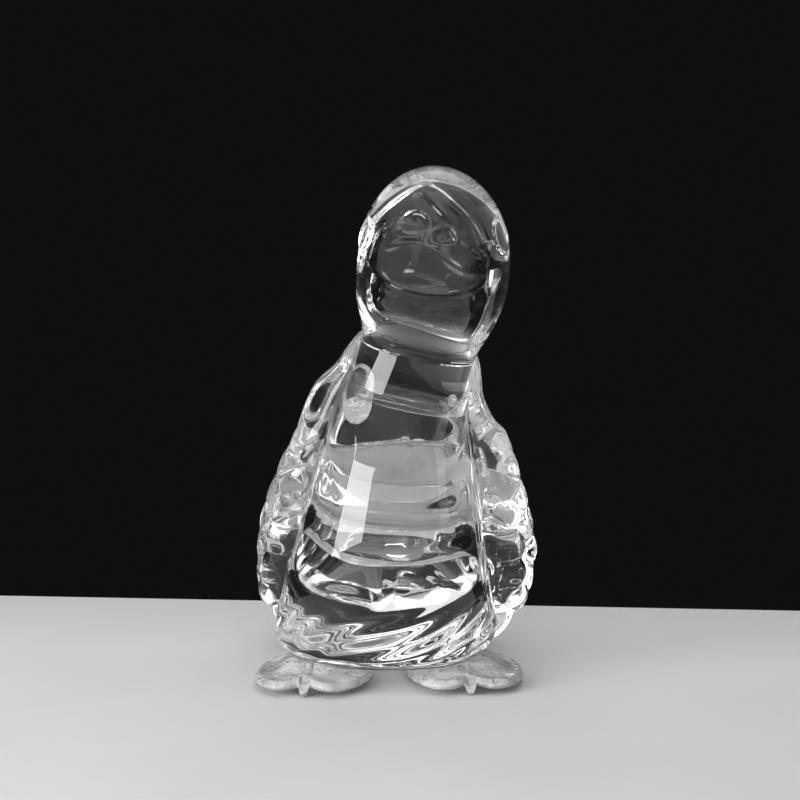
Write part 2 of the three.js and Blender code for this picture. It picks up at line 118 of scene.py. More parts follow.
EYE_SPREAD = 73.0
WING_THICKNESS = 6.4
WING_TOP_RISE = 14.5
SHOULDER_DROP = 0.4
WING_BOTTOM_RISE = 4.0
WING_FRONT = 10.0
WING_BACK = 74.0
WING_OUTLINE = 3.6
WING_SWEEP = 0.8
WING_ROUND = 2.4
WING_FOOT_ROUND = 6.0
WING_TOP_ROUND = 4.5
SCALE_RELIEF = 1.2
SCALE_SLANT = 42.0
SCALE_START = 22.0
SHOULDER_RELIEF = 1.4
SHOULDER_LENGTH = 30.0
SHOULDER_WIDTH = 14.0
SHOULDER_OFFSET = 11.0
TAIL_WIDTH = 20.0
TAIL_FAN_WIDTH = 24.0
TAIL_HEIGHT = 11.0
TAIL_TIP_HEIGHT = 3.4
TAIL_LENGTH = 14.0
TAIL_RISE = 11.0
TAIL_UPTURN = 8.0
TAIL_FEATHERS = 5.0
TAIL_SCALLOP = 1.6
TAIL_TAPER = 0.85
FOOT_WIDTH = 29.5
FOOT_LENGTH = 48.0
FOOT_EDGE = 2.8
FOOT_CROWN = 6.4
FOOT_SPACING = 37.0
FOOT_OFFSET = 1.5
FOOT_ADVANCE = 6.5
STRIDE = 5.0
LEFT_SPLAY = 9.0
RIGHT_SPLAY = 3.0
WEB_NOTCH = 0.08
WEB_ARCH = 0.7
TOE_LIFT = 1.1
CLAW_WIDTH = 6.4
CLAW_LENGTH = 2.4

# Levels above the floor, and the wings' angles
BASE = BODY_LIFT
EDGE_TOP = BASE + EDGE_ROUND
JOINT = BASE + BODY_HEIGHT
WAIST = JOINT + NECK_WAIST_RISE
HEAD_BELLY = JOINT + HEAD_BELLY_RISE
CROWN = JOINT + HEAD_HEIGHT
RUMP = BASE + RUMP_RISE
BACK_TOP = JOINT + BACK_RISE
BILL_TIP = JOINT + BILL_TIP_RISE
BROW = JOINT + BILL_BROW_RISE
TAIL_LEVEL = BASE + TAIL_RISE
TAIL_TOP = TAIL_LEVEL + TAIL_HEIGHT / 2
WING_BOTTOM = BASE + WING_BOTTOM_RISE
WING_HALF = math.radians(WING_BACK - WING_FRONT) / 2
WING_MIDDLE = math.radians(WING_BACK + WING_FRONT) / 2
LEFT = 1
RIGHT = -1
WING_TOPS = {LEFT: JOINT + WING_TOP_RISE - SHOULDER_DROP, RIGHT: JOINT + WING_TOP_RISE}

# Plain values
MILLIMETRE = 0.001
TURN = 2 * math.pi
QUARTER = math.pi / 2
TINY = 1e-6
SHARP_EDGE = math.radians(40)

# Cement: how deep a rim sits in its neighbour, the gap over the neck joint and how softly a joined face ends
SUNK = 0.1
NECK_GAP = 0.02
JOINED_EDGE = 0.6

# Where carving starts, is full, is last full and ends, in millimetres
CHEST_LINE_SPAN = (EDGE_TOP + 2.0, EDGE_TOP + 14.0, JOINT - 10.0, JOINT - 3.0)
RIPPLE_SPAN = (BASE + 1.0, BASE + 5.0, EDGE_TOP + 3.0, EDGE_TOP + 11.0)
SWELL_SPAN = (TAIL_TOP, TAIL_TOP + 5.0, JOINT - 18.0, JOINT - 6.0)
ROOT_SPAN = (BILL_TIP - 16.0, BILL_TIP - 11.0, BILL_TIP - 2.0, BILL_TIP + 6.0)
HOOD_STEP = (-0.5, 0.7, 2.5, 14.0)
RIM_STEP = (-0.3, 0.8, 2.0, 7.0)

# Lines on the chest and the back: degrees from the side, millimetres a radian, width, share of the depth
CHEST_LINES = ((-13.0, 30.0, 0.7, 1.0), (-19.0, 30.0, 0.6, 0.6), (90.0, 24.0, 0.35, -0.25))

# Ripples at the foot of the chest, and the swelling over the rump
RIPPLE_SLANT = math.radians(25.0)
RIPPLE_GIRTH = 26.0
RIPPLE_LENGTH = 5.2
RIPPLE_SWAY = 1.5
RIPPLE_SWAYS = 4.0
RIPPLE_FRONT = (0.1, 0.5)
RIPPLE_SIDE = (-0.6, 0.3)
RIPPLE_LEAST = 0.35
SWELL_RISE = 26.0
SWELL_SLOPE = 8.0
SWELL_WIDTH = 10.0
SWELL_TURN = (0.3, 0.9)
SWELL_CLEAR = (0.5, 4.0)

# Lines carved on the head: degrees from the front to the duckling's left, and millimetres over the neck joint
HOOD_LINE = ((-64.5, 45.0), (-54.8, 47.6), (-39.8, 52.0), (-20.0, 55.6), (0.0, 55.8), (14.0, 54.4),
             (25.0, 52.2), (35.5, 49.0), (42.5, 45.2), (46.0, 42.0))
FOLD_LINE = ((-14.0, 52.9), (-6.5, 52.0), (5.8, 49.0), (14.3, 46.6), (19.0, 43.7), (25.0, 41.2), (35.0, 39.3))
GAPE_LINE = ((-25.8, 41.6), (-16.5, 42.8), (-6.8, 42.6), (2.5, 41.6), (9.8, 39.6), (14.8, 37.9), (21.0, 36.2),
             (30.2, 35.8), (46.5, 35.0))
RIM_LINE = ((-62.0, 38.5), (-34.2, 36.4), (-21.5, 35.0), (-10.0, 32.7), (1.8, 31.0), (14.5, 31.2),
            (22.8, 31.7), (38.0, 33.2), (48.0, 34.5))
CORNER_CUTS = 3

# Nostrils: degrees from the front, millimetres over the neck joint, half-width and half-height
NOSTRILS = ((-13.8, 47.3, 4.4, 2.6), (12.0, 44.0, 3.0, 1.8))

# Bell curves on the head and the feet: middle, width and height
HOOD_LIP = (-1.1, 0.8, -0.3)
HOOD_DOUBLE = (2.6, 0.6, 0.5)
RIM_LIP = (-1.0, 0.7, -0.3)
NOSTRIL_RIM = (1.2, 0.25, -0.35)
WEB_HOLLOW = (0.72, 0.16, 0.7)
FOOT_LIP = (0.93, 0.05, 0.45)

# Widths of the head's grooves, where they fade, and the depths between which the polish goes
HOOD_DOUBLE_FRONT = (0.05, 0.4)
ROOT_FRONT = (0.0, 0.3)
ROOT_WIDTH = 0.9
FOLD_WIDTH = 1.2
GAPE_WIDTH = 1.3
GROOVE_DEPTHS = (0.2, 0.8)

# Eye sockets, feathers and the wings' round edges
EYE_RECESS = 0.85
SOCKET_EDGE = (-0.1, 0.8)
EYE_STEP_TURN = 0.05
EYE_STEP_RISE = 1.0
FEATHER_ROOT = 0.35
FEATHER_TIP = 0.3
FEATHER_SQUARENESS = 3
FEATHER_GROOVES = (0.1, 0.7)
ROUND_EDGE = (0.0, 0.35)

# Tail: how it leaves the rump, closes, curls and is grooved between its feathers
TAIL_ROOT_SPAN = (0.0, 0.5)
TAIL_CLOSE_POWER = 5
TAIL_CLOSE_WIDTH = 0.55
TAIL_CURL = 1.5
TAIL_GROOVE = 0.3
TAIL_GROOVE_SPAN = (0.15, 0.6)
HALVINGS = 40

# Feet: shares of the outline, cosines and angles from the toes, and millimetres
TOE_SQUARENESS = 2.9
TOE_TURN = (-0.2, 0.3)
TOE_LIFT_TURN = (0.1, 0.7)
HEEL_NARROWING = 0.22
HEEL_TURN = (-0.1, 0.8)
NOTCH_WIDTH = 0.3
NOTCH_CROWDING = 0.55
CLAW_BLUNT = 0.74
CLAW_DOWN = (0.7, 0.95)
CLAW_TIP = (0.85, 1.0)
CLAW_DROP = 0.5
WEB_ARCH_WIDTH = 0.32
WEB_LIFT_SPAN = (0.55, 0.95)
WEB_HOLLOW_BACK = -0.2
WEB_HOLLOW_GAP = 0.25
FOOT_SLOPE = (0.25, 1.0)
FOOT_ROUND = 8
SOLE_PART = 0.84
BEYOND_BODY = 1000.0

# Points and rings of the meshes
BODY_COLUMNS = 360
ROUNDING_ROWS = 24
BODY_ROWS = 120
BODY_SOLE_SHARES = np.linspace(0.04, 0.96, 26)
LID_SHARES = np.linspace(0.1, 0.99, 10)
HEAD_COLUMNS = 400
NECK_ROWS = 130
CROWN_ROWS = 90
WING_OUTER_COLUMNS = 170
WING_INNER_COLUMNS = 40
WING_ROWS = 300
TAIL_COLUMNS = 160
TAIL_ROOT_SHARES = np.linspace(0.05, 1.0, 12)[:, None]
TAIL_ROWS = 90
EYE_COLUMNS = 96
EYE_ROWS = 20
FOOT_COLUMNS = 260
FOOT_MEASURES = 720
FOOT_SOLE_SHARES = np.linspace(0.05, SOLE_PART, 20)
FOOT_RIM_TURNS = np.linspace(0.05, QUARTER, 14, endpoint=False)
FOOT_BROW_SHARES = 0.8 + 0.2 * np.cos(np.linspace(0.0, 1.2, 26))
FOOT_TOP_SHARES = np.linspace(0.86, 0.03, 64)
BOARD_COLUMNS = 400

# Floor board: shares of the outline and heights of its rings, in millimetres, from the underside to the top
BOARD_RINGS = ((0.5, -12.0), (0.97, -12.0), (0.995, -11.5), (1.0, -10.0), (1.0, -2.0), (0.997, -0.6),
               (0.99, 0.0), (0.8, 0.0), (0.6, 0.0), (0.4, 0.0), (0.2, 0.0))
BOARD_THICKNESS = 12.0
BOARD_GAP = 0.02
BOARD_SQUARENESS = 30.0

# Lamps: name, azimuth and elevation in degrees, distance and size in metres, and the setting of the power
LAMPS = (
    ("key_lamp", -45.0, 12.0, 0.7, (0.5, 0.36), "key_power"),
    ("top_lamp", 4.5, 66.0, 0.75, (0.5, 0.5), "top_power"),
    ("back_lamp", 180.0, 55.0, 0.75, (0.6, 0.3), "back_power"),
    ("side_lamp", 78.0, 16.0, 0.7, (0.22, 0.5), "side_power"),
)
LAMP_AIM = Vector((0.0, 0.0, 0.06))

# Camera: where it looks, how far the view is set right and up, and the sensor's width in millimetres
CAMERA_AIM = Vector((0.0, -0.005, 0.065))
CAMERA_SHIFT = Vector((0.00254, 0.004, 0.0))
SENSOR_WIDTH = 36.0

# How often light may be turned in the clear castings
BOUNCES = 24
GLOSSY_BOUNCES = 16
TRANSPARENT_BOUNCES = 48

# Refraction of acrylic
REFRACTION = 1.49


# Small shapes

def smoothstep(value, low, high):
    """Rises from 0 at low to 1 at high as 3t^2 - 2t^3."""
    share = np.clip((value - low) / (high - low), 0.0, 1.0)
    return share * share * (3.0 - 2.0 * share)


def plateau(value, span):
    """Rises in a smooth step between a span's first two values and falls in one between its last two."""
    start, full, last, end = span
    return smoothstep(value, start, full) * (1.0 - smoothstep(value, last, end))


def lerp(start, end, share):
    """Straight blend from start to end."""
    return start + (end - start) * share


def ridge(distance, width):
    """Bell curve of height 1 about distance 0, exp(-(distance / width)^2)."""
    return np.exp(-((distance / width) ** 2))


def bell(distance, middle, width, height):
    """Bell curve of a height about a middle."""
    return height * ridge(distance - middle, width)


def soft_max(first, second, softness):
    """The larger of two radii, with a parabola where they differ by less than the softness."""
    near = np.maximum(0.0, softness - np.abs(first - second))
    return np.maximum(first, second) + near ** 2 / (4.0 * softness)


def superellipse(angle, across, along, squareness):
    """Radius r with (r cos / across)^n + (r sin / along)^n = 1."""
    first = np.abs(np.cos(angle)) / np.maximum(across, TINY)
    second = np.abs(np.sin(angle)) / np.maximum(along, TINY)
    return (first ** squareness + second ** squareness) ** (-1.0 / squareness)


def set_back_ellipse(angle, across, along, setback):
    """Distance from the spine to an ellipse whose middle is set back: the larger root of its quadratic."""
    square = (np.cos(angle) / across) ** 2 + (np.sin(angle) / along) ** 2
    slope = setback * np.sin(angle) / along ** 2
    rest = 1.0 - (setback / along) ** 2
    return (slope + np.sqrt(slope ** 2 + square * rest)) / square


def full_turn(count):
    """Angles at equal steps once round."""
    return np.arange(count) * TURN / count


def quarter_turn(count):
    """Angles at equal steps from 0 up to a quarter turn, which is left out."""
    return np.linspace(0.0, QUARTER, count, endpoint=False)


def side_turn(angle):
    """Angle from the nearer side: a quarter turn at the back and minus a quarter turn at the front."""
    return np.arctan2(np.sin(angle), np.abs(np.cos(angle)))


def mirrored(side, angle):
    """An angle of the left side, or its mirror image on the right."""
    return angle if side == LEFT else math.pi - angle


# The skin of the whole figure: a radius by angle and level about a leaning spine

def spine(level):
    """Sideways place of the spine: two smooth steps, one over the whole height and one over the neck."""
    lean = BODY_LEAN * smoothstep(level, 0.0, JOINT + LEAN_RISE)
    return lean + NECK_SWING * smoothstep(level, JOINT - SWING_DROP, JOINT + SWING_RISE)


def spine_point(level):
    """The spine's point on a level."""
    return np.array([float(spine(level)), 0.0, level])


def tilt(level):
    """Slope of the level sections: none at the foot, full at the neck joint, none again in the head."""
    rising = smoothstep(level, JOINT - TILT_DROP, JOINT - TILT_FULL_DROP)
    falling = 1.0 - smoothstep(level, WAIST, JOINT + TILT_RISE)
    return math.tan(math.radians(JOINT_TILT)) * rising * falling


def chest_radius(angle, level):
    """Chest and lower neck: a hyperbola across, a parabola to the belly, the neck's depth behind."""
    down = np.clip((WAIST - level) / (WAIST - EDGE_TOP), 0.0, None)
    taper = (np.hypot(down, WAIST_TURN) - WAIST_TURN) / (math.hypot(1.0, WAIST_TURN) - WAIST_TURN)
    across = lerp(NECK_WIDTH, CHEST_WIDTH, taper) / 2
    drop = np.minimum(1.0, down / BELLY_DROP)
    belly = (1.0 - (1.0 - drop) ** 2) * smoothstep(drop, 0.0, BELLY_TURN)
    front = lerp(NECK_DEPTH / 2, CHEST_REACH, belly)
    along = np.where(np.sin(angle) < 0, front, NECK_DEPTH / 2)
    return superellipse(angle, across, along, CHEST_SQUARENESS)


def rump_radius(angle, level):
    """Back and rump: set-back ellipses whose width follows a dome and whose reach drops in a smooth step
    from the full rump to a steep back."""
    up = np.clip((level - RUMP) / (BACK_TOP - RUMP), 0.0, None)
    least = 0.02
    dome = np.sqrt(np.maximum(least ** 2, 1.0 - up ** 2))
    bulge = 1.0 - smoothstep(level, BASE + RUMP_SHELF, BASE + BACK_HOLLOW)
    back = lerp(BACK_REACH * dome, RUMP_REACH, bulge)
    front = BACK_START * dome
    return set_back_ellipse(angle, RUMP_WIDTH / 2 * dome, (back + front) / 2, (back - front) / 2)


def head_radius(angle, level):
    """Egg of the head: a smooth swelling from the neck to the widest level, a superellipse over it."""
    below = np.clip((HEAD_BELLY - level) / (HEAD_BELLY - WAIST), 0.0, 1.0)
    narrow = smoothstep(below ** CHEEK_SWELL, 0.0, 1.0)
    above = np.clip((level - HEAD_BELLY) / (CROWN - HEAD_BELLY), 0.0, 1.0)
    swell = np.sqrt(1.0 - above ** CROWN_SQUARENESS)
    across = lerp(HEAD_WIDTH, NECK_WIDTH, narrow) * swell
    deep = lerp(HEAD_DEPTH, NECK_DEPTH, narrow) * swell
    return superellipse(angle, across / 2, deep / 2, 2.0)


def bill_radius(angle, level, head):
    """Bill: a superellipse that is longest along a curved and rolled rim, shrinks in a ramp to the brow and
    rounds under to the throat."""
    side = head * np.cos(angle)
    rolled = level + math.tan(math.radians(BILL_ROLL)) * side
    curve = BILL_CURVE * (side / (BILL_WIDTH / 2)) ** 2
    tip = BILL_TIP + curve
    climb = np.clip((rolled - tip) / (BROW - tip), 0.0, 1.0)
    ramp = (np.hypot(climb, BILL_NOSE) - BILL_NOSE) / (math.hypot(1.0, BILL_NOSE) - BILL_NOSE)
    fall = np.clip((tip - rolled) / (BILL_DROP + curve), 0.0, 1.0)
    keep = (1.0 - ramp) ** BILL_HOLLOW * (1.0 - fall ** 2) ** BILL_UNDERCUT
    sunk = BILL_SUNK * head
    reach = lerp(sunk, BILL_REACH, keep)
    pinch = 1.0 - BILL_PINCH * fall ** 2
    across = lerp(BILL_WIDTH, BILL_BROW_WIDTH, climb ** BILL_FLARE) * pinch / 2
    along = np.where(np.sin(angle) < 0, reach, sunk)
    return superellipse(angle, np.minimum(across, sunk), along, BILL_SQUARENESS)


def skin_radius(angle, level):
    """Smooth skin: the larger of head and bill over the waist, of chest and rump under it, rounded in at
    the foot."""
    head = head_radius(angle, level)
    upper = soft_max(head, bill_radius(angle, level, head), BILL_SOFTNESS)
    held = np.clip(level, EDGE_TOP, WAIST)
    lower = soft_max(chest_radius(angle, held), rump_radius(angle, held), FLANK_SOFTNESS)
    turned = np.clip((EDGE_TOP - level) / EDGE_ROUND, 0.0, 1.0)
    lower = lower - EDGE_INSET * (1.0 - np.sqrt(1.0 - turned ** 2))
    return np.where(level >= WAIST, upper, lower)


def skin_point(angle, level, radius):
    """Point at a radius about the spine, on a section that slopes by the tilt."""
    x = radius * np.cos(angle)
    return np.stack([spine(level) + x, radius * np.sin(angle), level - tilt(level) * x], axis=-1)


def flat_face(angle, level, rim, shares):
    """Rings of a section on one level, at shares of its rim's radius."""
    radius = shares[:, None] * rim
    return skin_point(angle, np.full(radius.shape, level), radius)


def wing_outline(up):
    """Half-angle and middle angle of a wing at a share of its half-height: a superellipse that leans
    forward at the shoulder and back at the lower end."""
    reach = WING_HALF * np.maximum(0.0, 1.0 - np.abs(up) ** WING_OUTLINE) ** (1.0 / WING_OUTLINE)
    return reach, WING_MIDDLE - WING_SWEEP * up * (WING_HALF - reach)


def wing_cover(angle, level):
    """How far inside the nearer wing's outline a place lies, in millimetres, negative outside it."""
    top = np.where(np.cos(angle) > 0, WING_TOPS[LEFT], WING_TOPS[RIGHT])
    up = 2.0 * (level - WING_BOTTOM) / (top - WING_BOTTOM) - 1.0
    reach, middle = wing_outline(up)
    inside = (reach - np.abs(side_turn(angle) - middle)) * RUMP_WIDTH / 2
    return np.where(np.abs(up) < 1.0, inside, -1.0)


def eye_frame(side):
    """Middle of an eye on the smooth skin, the way it looks, and two directions in its plane."""
    angle = side * math.radians(EYE_SPREAD) - QUARTER + EYE_STEP_TURN * np.array([0, 1, -1, 0, 0])
    level = JOINT + EYE_RISE + EYE_STEP_RISE * np.array([0, 0, 0, 1, -1])
    middle, ahead, behind, over, under = skin_point(angle, level, skin_radius(angle, level))
    first = (ahead - behind) / np.linalg.norm(ahead - behind)
    look = np.cross(first, over - under)
    look = look / np.linalg.norm(look)
    return middle, look, first, np.cross(look, first)


# Meshes

def piece_place():
    """Offset of the castings' frame in the row frame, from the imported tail's middle and belly's front."""
    tail_low, tail_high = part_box("tail")
    belly_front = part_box("body")[0][1]
    x = (tail_low[0] + tail_high[0]) / 2 / MILLIMETRE - float(spine(TAIL_LEVEL))
    return np.array([x, belly_front / MILLIMETRE + CHEST_REACH, 0.0])


PLACE = piece_place()


def closed_mesh(name, rings, first, last):
    """Close rings of points, in millimetres, to one skin: quads between the rings and a fan at each end."""
    rows, columns = rings.shape[:2]
    points = (np.vstack([rings.reshape(-1, 3), first, last]) + PLACE) * MILLIMETRE
    here = np.arange(rows * columns).reshape(rows, columns)
    after = np.roll(here, -1, axis=1)
    quads = np.stack([here[:-1], after[:-1], after[1:], here[1:]], axis=-1)
    start = np.stack([after[0], here[0], np.full(columns, rows * columns)], axis=-1)
    end = np.stack([here[-1], after[-1], np.full(columns, rows * columns + 1)], axis=-1)
    corners = np.concatenate([quads.ravel(), start.ravel(), end.ravel()])
    counts = np.concatenate([np.full(quads.size // 4, 4), np.full(2 * columns, 3)])
    mesh = bpy.data.meshes.new(name)
    mesh.vertices.add(len(points))
    mesh.vertices.foreach_set("co", points.astype(np.float32).ravel())
    mesh.loops.add(len(corners))
    mesh.loops.foreach_set("vertex_index", corners.astype(np.int32))
    mesh.polygons.add(len(counts))
    mesh.polygons.foreach_set("loop_start", (np.cumsum(counts) - counts).astype(np.int32))
    mesh.update(calc_edges=True)
    mesh.validate()
    mesh.shade_smooth()
    mesh.set_sharp_from_angle(angle=SHARP_EDGE)
    return mesh


def store(mesh, label, domain, *parts):
    """Keep one value for each point or face of a mesh, from parts in the mesh's order. The label open_share
    says how open a place is: 1 to the air, 0 where clear cement joins it. The label groove says how deep in
    a carved line it lies: 0 on the polished faces, 1 where no polish reaches."""
    values = np.concatenate([np.ravel(part) for part in parts])
    layer = mesh.attributes.new(label, "FLOAT", domain)
    layer.data.foreach_set("value", values.astype(np.float32))


def open_share(cover):
    """How open a place is by how far inside its neighbour it lies: a straight ramp at the joint's edge."""
    return np.clip(0.5 - cover / JOINED_EDGE, 0.0, 1.0)


# Carving

def chest_lines(angle, level, depth):
    """Two fine grooves along each side of the chest and a raised seam down the back: bell curves across the
    angle that fade at both ends."""
    lines = 0.0
    for turn, girth, width, share in CHEST_LINES:
        lines = lines + share * ridge((side_turn(angle) - math.radians(turn)) * girth, width)
    return depth * plateau(level, CHEST_LINE_SPAN) * lines


def belly_ripples(angle, level, depth):
    """Slanting ripples of soft down at the foot of the chest: swaying sines across rising lines."""
    angle = np.where(angle > math.pi, angle - TURN, angle)
    across = level * math.cos(RIPPLE_SLANT) - (angle + QUARTER) * RIPPLE_GIRTH * math.sin(RIPPLE_SLANT)
    left = lerp(RIPPLE_LEAST, 1.0, smoothstep(np.cos(angle), *RIPPLE_SIDE))
    fade = plateau(level, RIPPLE_SPAN) * smoothstep(-np.sin(angle), *RIPPLE_FRONT) * left
    wave = np.sin(TURN * across / RIPPLE_LENGTH + RIPPLE_SWAY * np.sin(RIPPLE_SWAYS * angle))
    return depth * fade * (0.5 - 0.5 * wave)


def back_swell(angle, level, height):
    """Soft swelling of the plumage over the rump: a bell curve up the back about a level that is higher on
    the right, fading in behind the sides and out over the tail and under the neck."""
    fold = ridge(level - BASE - SWELL_RISE + SWELL_SLOPE * np.cos(angle), SWELL_WIDTH)
    return height * smoothstep(side_turn(angle), *SWELL_TURN) * plateau(level, SWELL_SPAN) * fold


def carved_line(line):
    """Points of a line on the smooth head, given by degrees from the front and the rise over the neck
    joint, with its corners cut at a quarter of each piece."""
    line = np.array(line)
    for _ in range(CORNER_CUTS):
        near = line[:-1] * 0.75 + line[1:] * 0.25
        far = line[:-1] * 0.25 + line[1:] * 0.75
        line = np.vstack([line[:1], np.stack([near, far], axis=1).reshape(-1, 2), line[-1:]])
    angle = np.radians(line[:, 0]) - QUARTER
    level = JOINT + line[:, 1]
    return line, skin_point(angle, level, skin_radius(angle, level))


def line_distance(points, front, level, line):
    """Distance from points to a carved line, the least over its straight pieces, negative over the line."""
    places, trace = carved_line(line)
    nearest = np.full(points.shape[:-1], np.inf)
    for start, end in zip(trace[:-1], trace[1:]):
        way = end - start
        share = np.clip((points - start) @ way / max(way @ way, TINY), 0.0, 1.0)
        nearest = np.minimum(nearest, np.sum((points - start - share[..., None] * way) ** 2, axis=-1))
    under = JOINT + np.interp(np.degrees(front), places[:, 0], places[:, 1]) > level
    return np.where(under, 1.0, -1.0) * np.sqrt(nearest)


def head_lines(angle, level, carving):
    """Depth of the carving on the head, in millimetres: steps with raised lips under the hood and the
    bill's rim, bell grooves along the hood, the fold, the gape and the bill's root, and oval nostrils with
    raised rims."""
    head = head_radius(angle, level)
    bill = bill_radius(angle, level, head)
    points = skin_point(angle, level, skin_radius(angle, level))
    front = np.arctan2(np.cos(angle), -np.sin(angle))
    lines = (HOOD_LINE, RIM_LINE, FOLD_LINE, GAPE_LINE)
    hood, rim, fold, gape = [line_distance(points, front, level, line) for line in lines]
    root = smoothstep(np.cos(front), *ROOT_FRONT) * plateau(level, ROOT_SPAN) * ridge(head - bill, ROOT_WIDTH)
    depth = carving.root_depth * root
    doubled = bell(hood, *HOOD_DOUBLE) * smoothstep(front, *HOOD_DOUBLE_FRONT)
    depth = depth + carving.hood_depth * (plateau(hood, HOOD_STEP) + bell(hood, *HOOD_LIP) + doubled)
    depth = depth + carving.rim_depth * (plateau(rim, RIM_STEP) + bell(rim, *RIM_LIP))
    depth = depth + carving.fold_depth * ridge(fold, FOLD_WIDTH)
    depth = depth + carving.gape_depth * ridge(gape, GAPE_WIDTH)
    for turn, rise, across, up in NOSTRILS:
        beside = (front - math.radians(turn)) * HEAD_DEPTH / 2 / across
        oval = np.hypot(beside, (level - JOINT - rise) / up)
        hollow = np.sqrt(np.maximum(0.0, 1.0 - oval ** 2))
        depth = depth + carving.nostril_depth * (hollow + bell(oval, *NOSTRIL_RIM))
    return depth / MILLIMETRE


def eye_recess(points):
    """Depth of the eyes' round recesses by the distance from each eye's axis, and how far inside."""
    radius = EYE_DIAMETER / 2
    depth = np.zeros(points.shape[:-1])
    inside = np.full(points.shape[:-1], -1.0)
    for side in (LEFT, RIGHT):
        middle, look, first, second = eye_frame(side)
        offset = points - middle
        within = radius - np.hypot(offset @ first, offset @ second)
        socket = EYE_RECESS * (1.0 - smoothstep(-within, *SOCKET_EDGE))
        near = np.abs(offset @ look) < radius
        depth = np.where(near, np.maximum(depth, socket), depth)
        inside = np.where(near, np.maximum(inside, within), inside)
    return depth, inside


def feather_relief(behind, down, carving):
    """Height of the feathers: a long oval pillow at the shoulder and rows of half-oval scales under it."""
    width = carving.feather_width / MILLIMETRE
    pitch = carving.feather_pitch / MILLIMETRE
    relief = carving.feather_relief / MILLIMETRE
    slant = math.radians(SCALE_SLANT)
    along = behind * math.sin(slant) + down * math.cos(slant)
    across = behind * math.cos(slant) - down * math.sin(slant)
    beside = (behind - SHOULDER_OFFSET) / (SHOULDER_WIDTH / 2)
    shoulder = beside ** 2 + (2.0 * down / SHOULDER_LENGTH - 1.0) ** 2
    height = SHOULDER_RELIEF * np.sqrt(np.maximum(0.0, 1.0 - shoulder))
    begun = smoothstep(down, SCALE_START, SCALE_START + pitch / 2)
    row = np.floor(along / pitch)
    for step in (-1, 0, 1):
        here = row + step
        shift = np.where(here % 2 == 0, 0.0, 0.5) * width
        middle = np.round((across - shift) / width) * width + shift
        past = along / pitch - here
        side = np.abs(across - middle) / (width / 2)
        tip = np.maximum(0.0, past - FEATHER_TIP) ** 2
        lift = np.clip(lerp(FEATHER_ROOT, 1.0, past), 0.0, 1.0)
        scale = relief * lift * np.sqrt(np.maximum(0.0, 1.0 - side ** FEATHER_SQUARENESS - tip))
        height = np.maximum(height, begun * scale)
    return height


# Feet

def claw_share(angle):
    """How much of the claw stands at an angle from the toes: a blunt bell, exp(-(distance / width)^4)."""
    return np.exp(-((angle * FOOT_LENGTH / (CLAW_BLUNT * CLAW_WIDTH)) ** 4))


def foot_outline(angle):
    """Outline of a foot as a share of its half-length: a circle that is squared at the toes, less a narrow
    heel and a notch, plus the claw."""
    squared = superellipse(angle, 1.0, 1.0, TOE_SQUARENESS)
    outline = lerp(1.0, squared, smoothstep(np.cos(angle), *TOE_TURN))
    heel = HEEL_NARROWING * smoothstep(-np.cos(angle), *HEEL_TURN)
    notch = 2.0 * WEB_NOTCH * ridge(angle, NOTCH_WIDTH)
    return outline - heel - notch + 2.0 * CLAW_LENGTH / FOOT_LENGTH * claw_share(angle)


def foot_turns(count):
    """Angles from the toes, close together at the notch: t less a share of sin t."""
    turn = TURN * (np.arange(count) / count - 0.5)
    return turn - NOTCH_CROWDING * np.sin(turn)


FOOT_WIDEST = float(np.max(np.sin(foot_turns(FOOT_MEASURES)) * foot_outline(foot_turns(FOOT_MEASURES))))


def foot_frame(side):
    """Middle of a foot and its splay."""
    x = float(spine(BASE)) + FOOT_OFFSET + side * FOOT_SPACING / 2
    y = -FOOT_ADVANCE + (STRIDE if side == LEFT else 0.0)
    return x, y, math.radians(LEFT_SPLAY if side == LEFT else -RIGHT_SPLAY)


def foot_plan(side, share, angle):
    """Place of a foot's point by its share of the outline and its angle from the toes."""
    x, y, splay = foot_frame(side)
    across = share * foot_outline(angle) * np.sin(angle) * FOOT_WIDTH / 2 / FOOT_WIDEST
    along = -share * foot_outline(angle) * np.cos(angle) * FOOT_LENGTH / 2
    x = x + across * math.cos(splay) - along * math.sin(splay)
    return x, y + across * math.sin(splay) + along * math.cos(splay)


def foot_share(side, x, y):
    """The share and angle of a foot's point from its place, the inverse of the plan."""
    middle_x, middle_y, splay = foot_frame(side)
    across = (x - middle_x) * math.cos(splay) + (y - middle_y) * math.sin(splay)
    along = (y - middle_y) * math.cos(splay) - (x - middle_x) * math.sin(splay)
    first = across * 2.0 * FOOT_WIDEST / FOOT_WIDTH
    second = -along * 2.0 / FOOT_LENGTH
    angle = np.arctan2(first, second)
    return np.hypot(first, second) / foot_outline(angle), angle


def web_lift(share, angle):
    """How far the toes lift off the floor and the web arches at the notch, with the claw left down."""
    lift = WEB_ARCH * ridge(angle, WEB_ARCH_WIDTH) + TOE_LIFT * smoothstep(np.cos(angle), *TOE_LIFT_TURN)
    claw = claw_share(angle) * smoothstep(share, *CLAW_DOWN)
    return lift * smoothstep(share, *WEB_LIFT_SPAN) * (1.0 - claw)


def foot_top(share, angle):
    """Free upper face of a foot: a slope from the crown to the rim, hollow webs and a lip on the rim."""
    claw = claw_share(angle) * smoothstep(share, *CLAW_TIP)
    slope = lerp(FOOT_CROWN, FOOT_EDGE, smoothstep(share, *FOOT_SLOPE)) - CLAW_DROP * claw
    toes = np.where(np.cos(angle) > WEB_HOLLOW_BACK, 1.0, 0.0)
    hollow = bell(share, *WEB_HOLLOW) * toes * (1.0 - ridge(angle, WEB_HOLLOW_GAP))
    return slope - hollow + bell(share, *FOOT_LIP) + web_lift(share, angle)


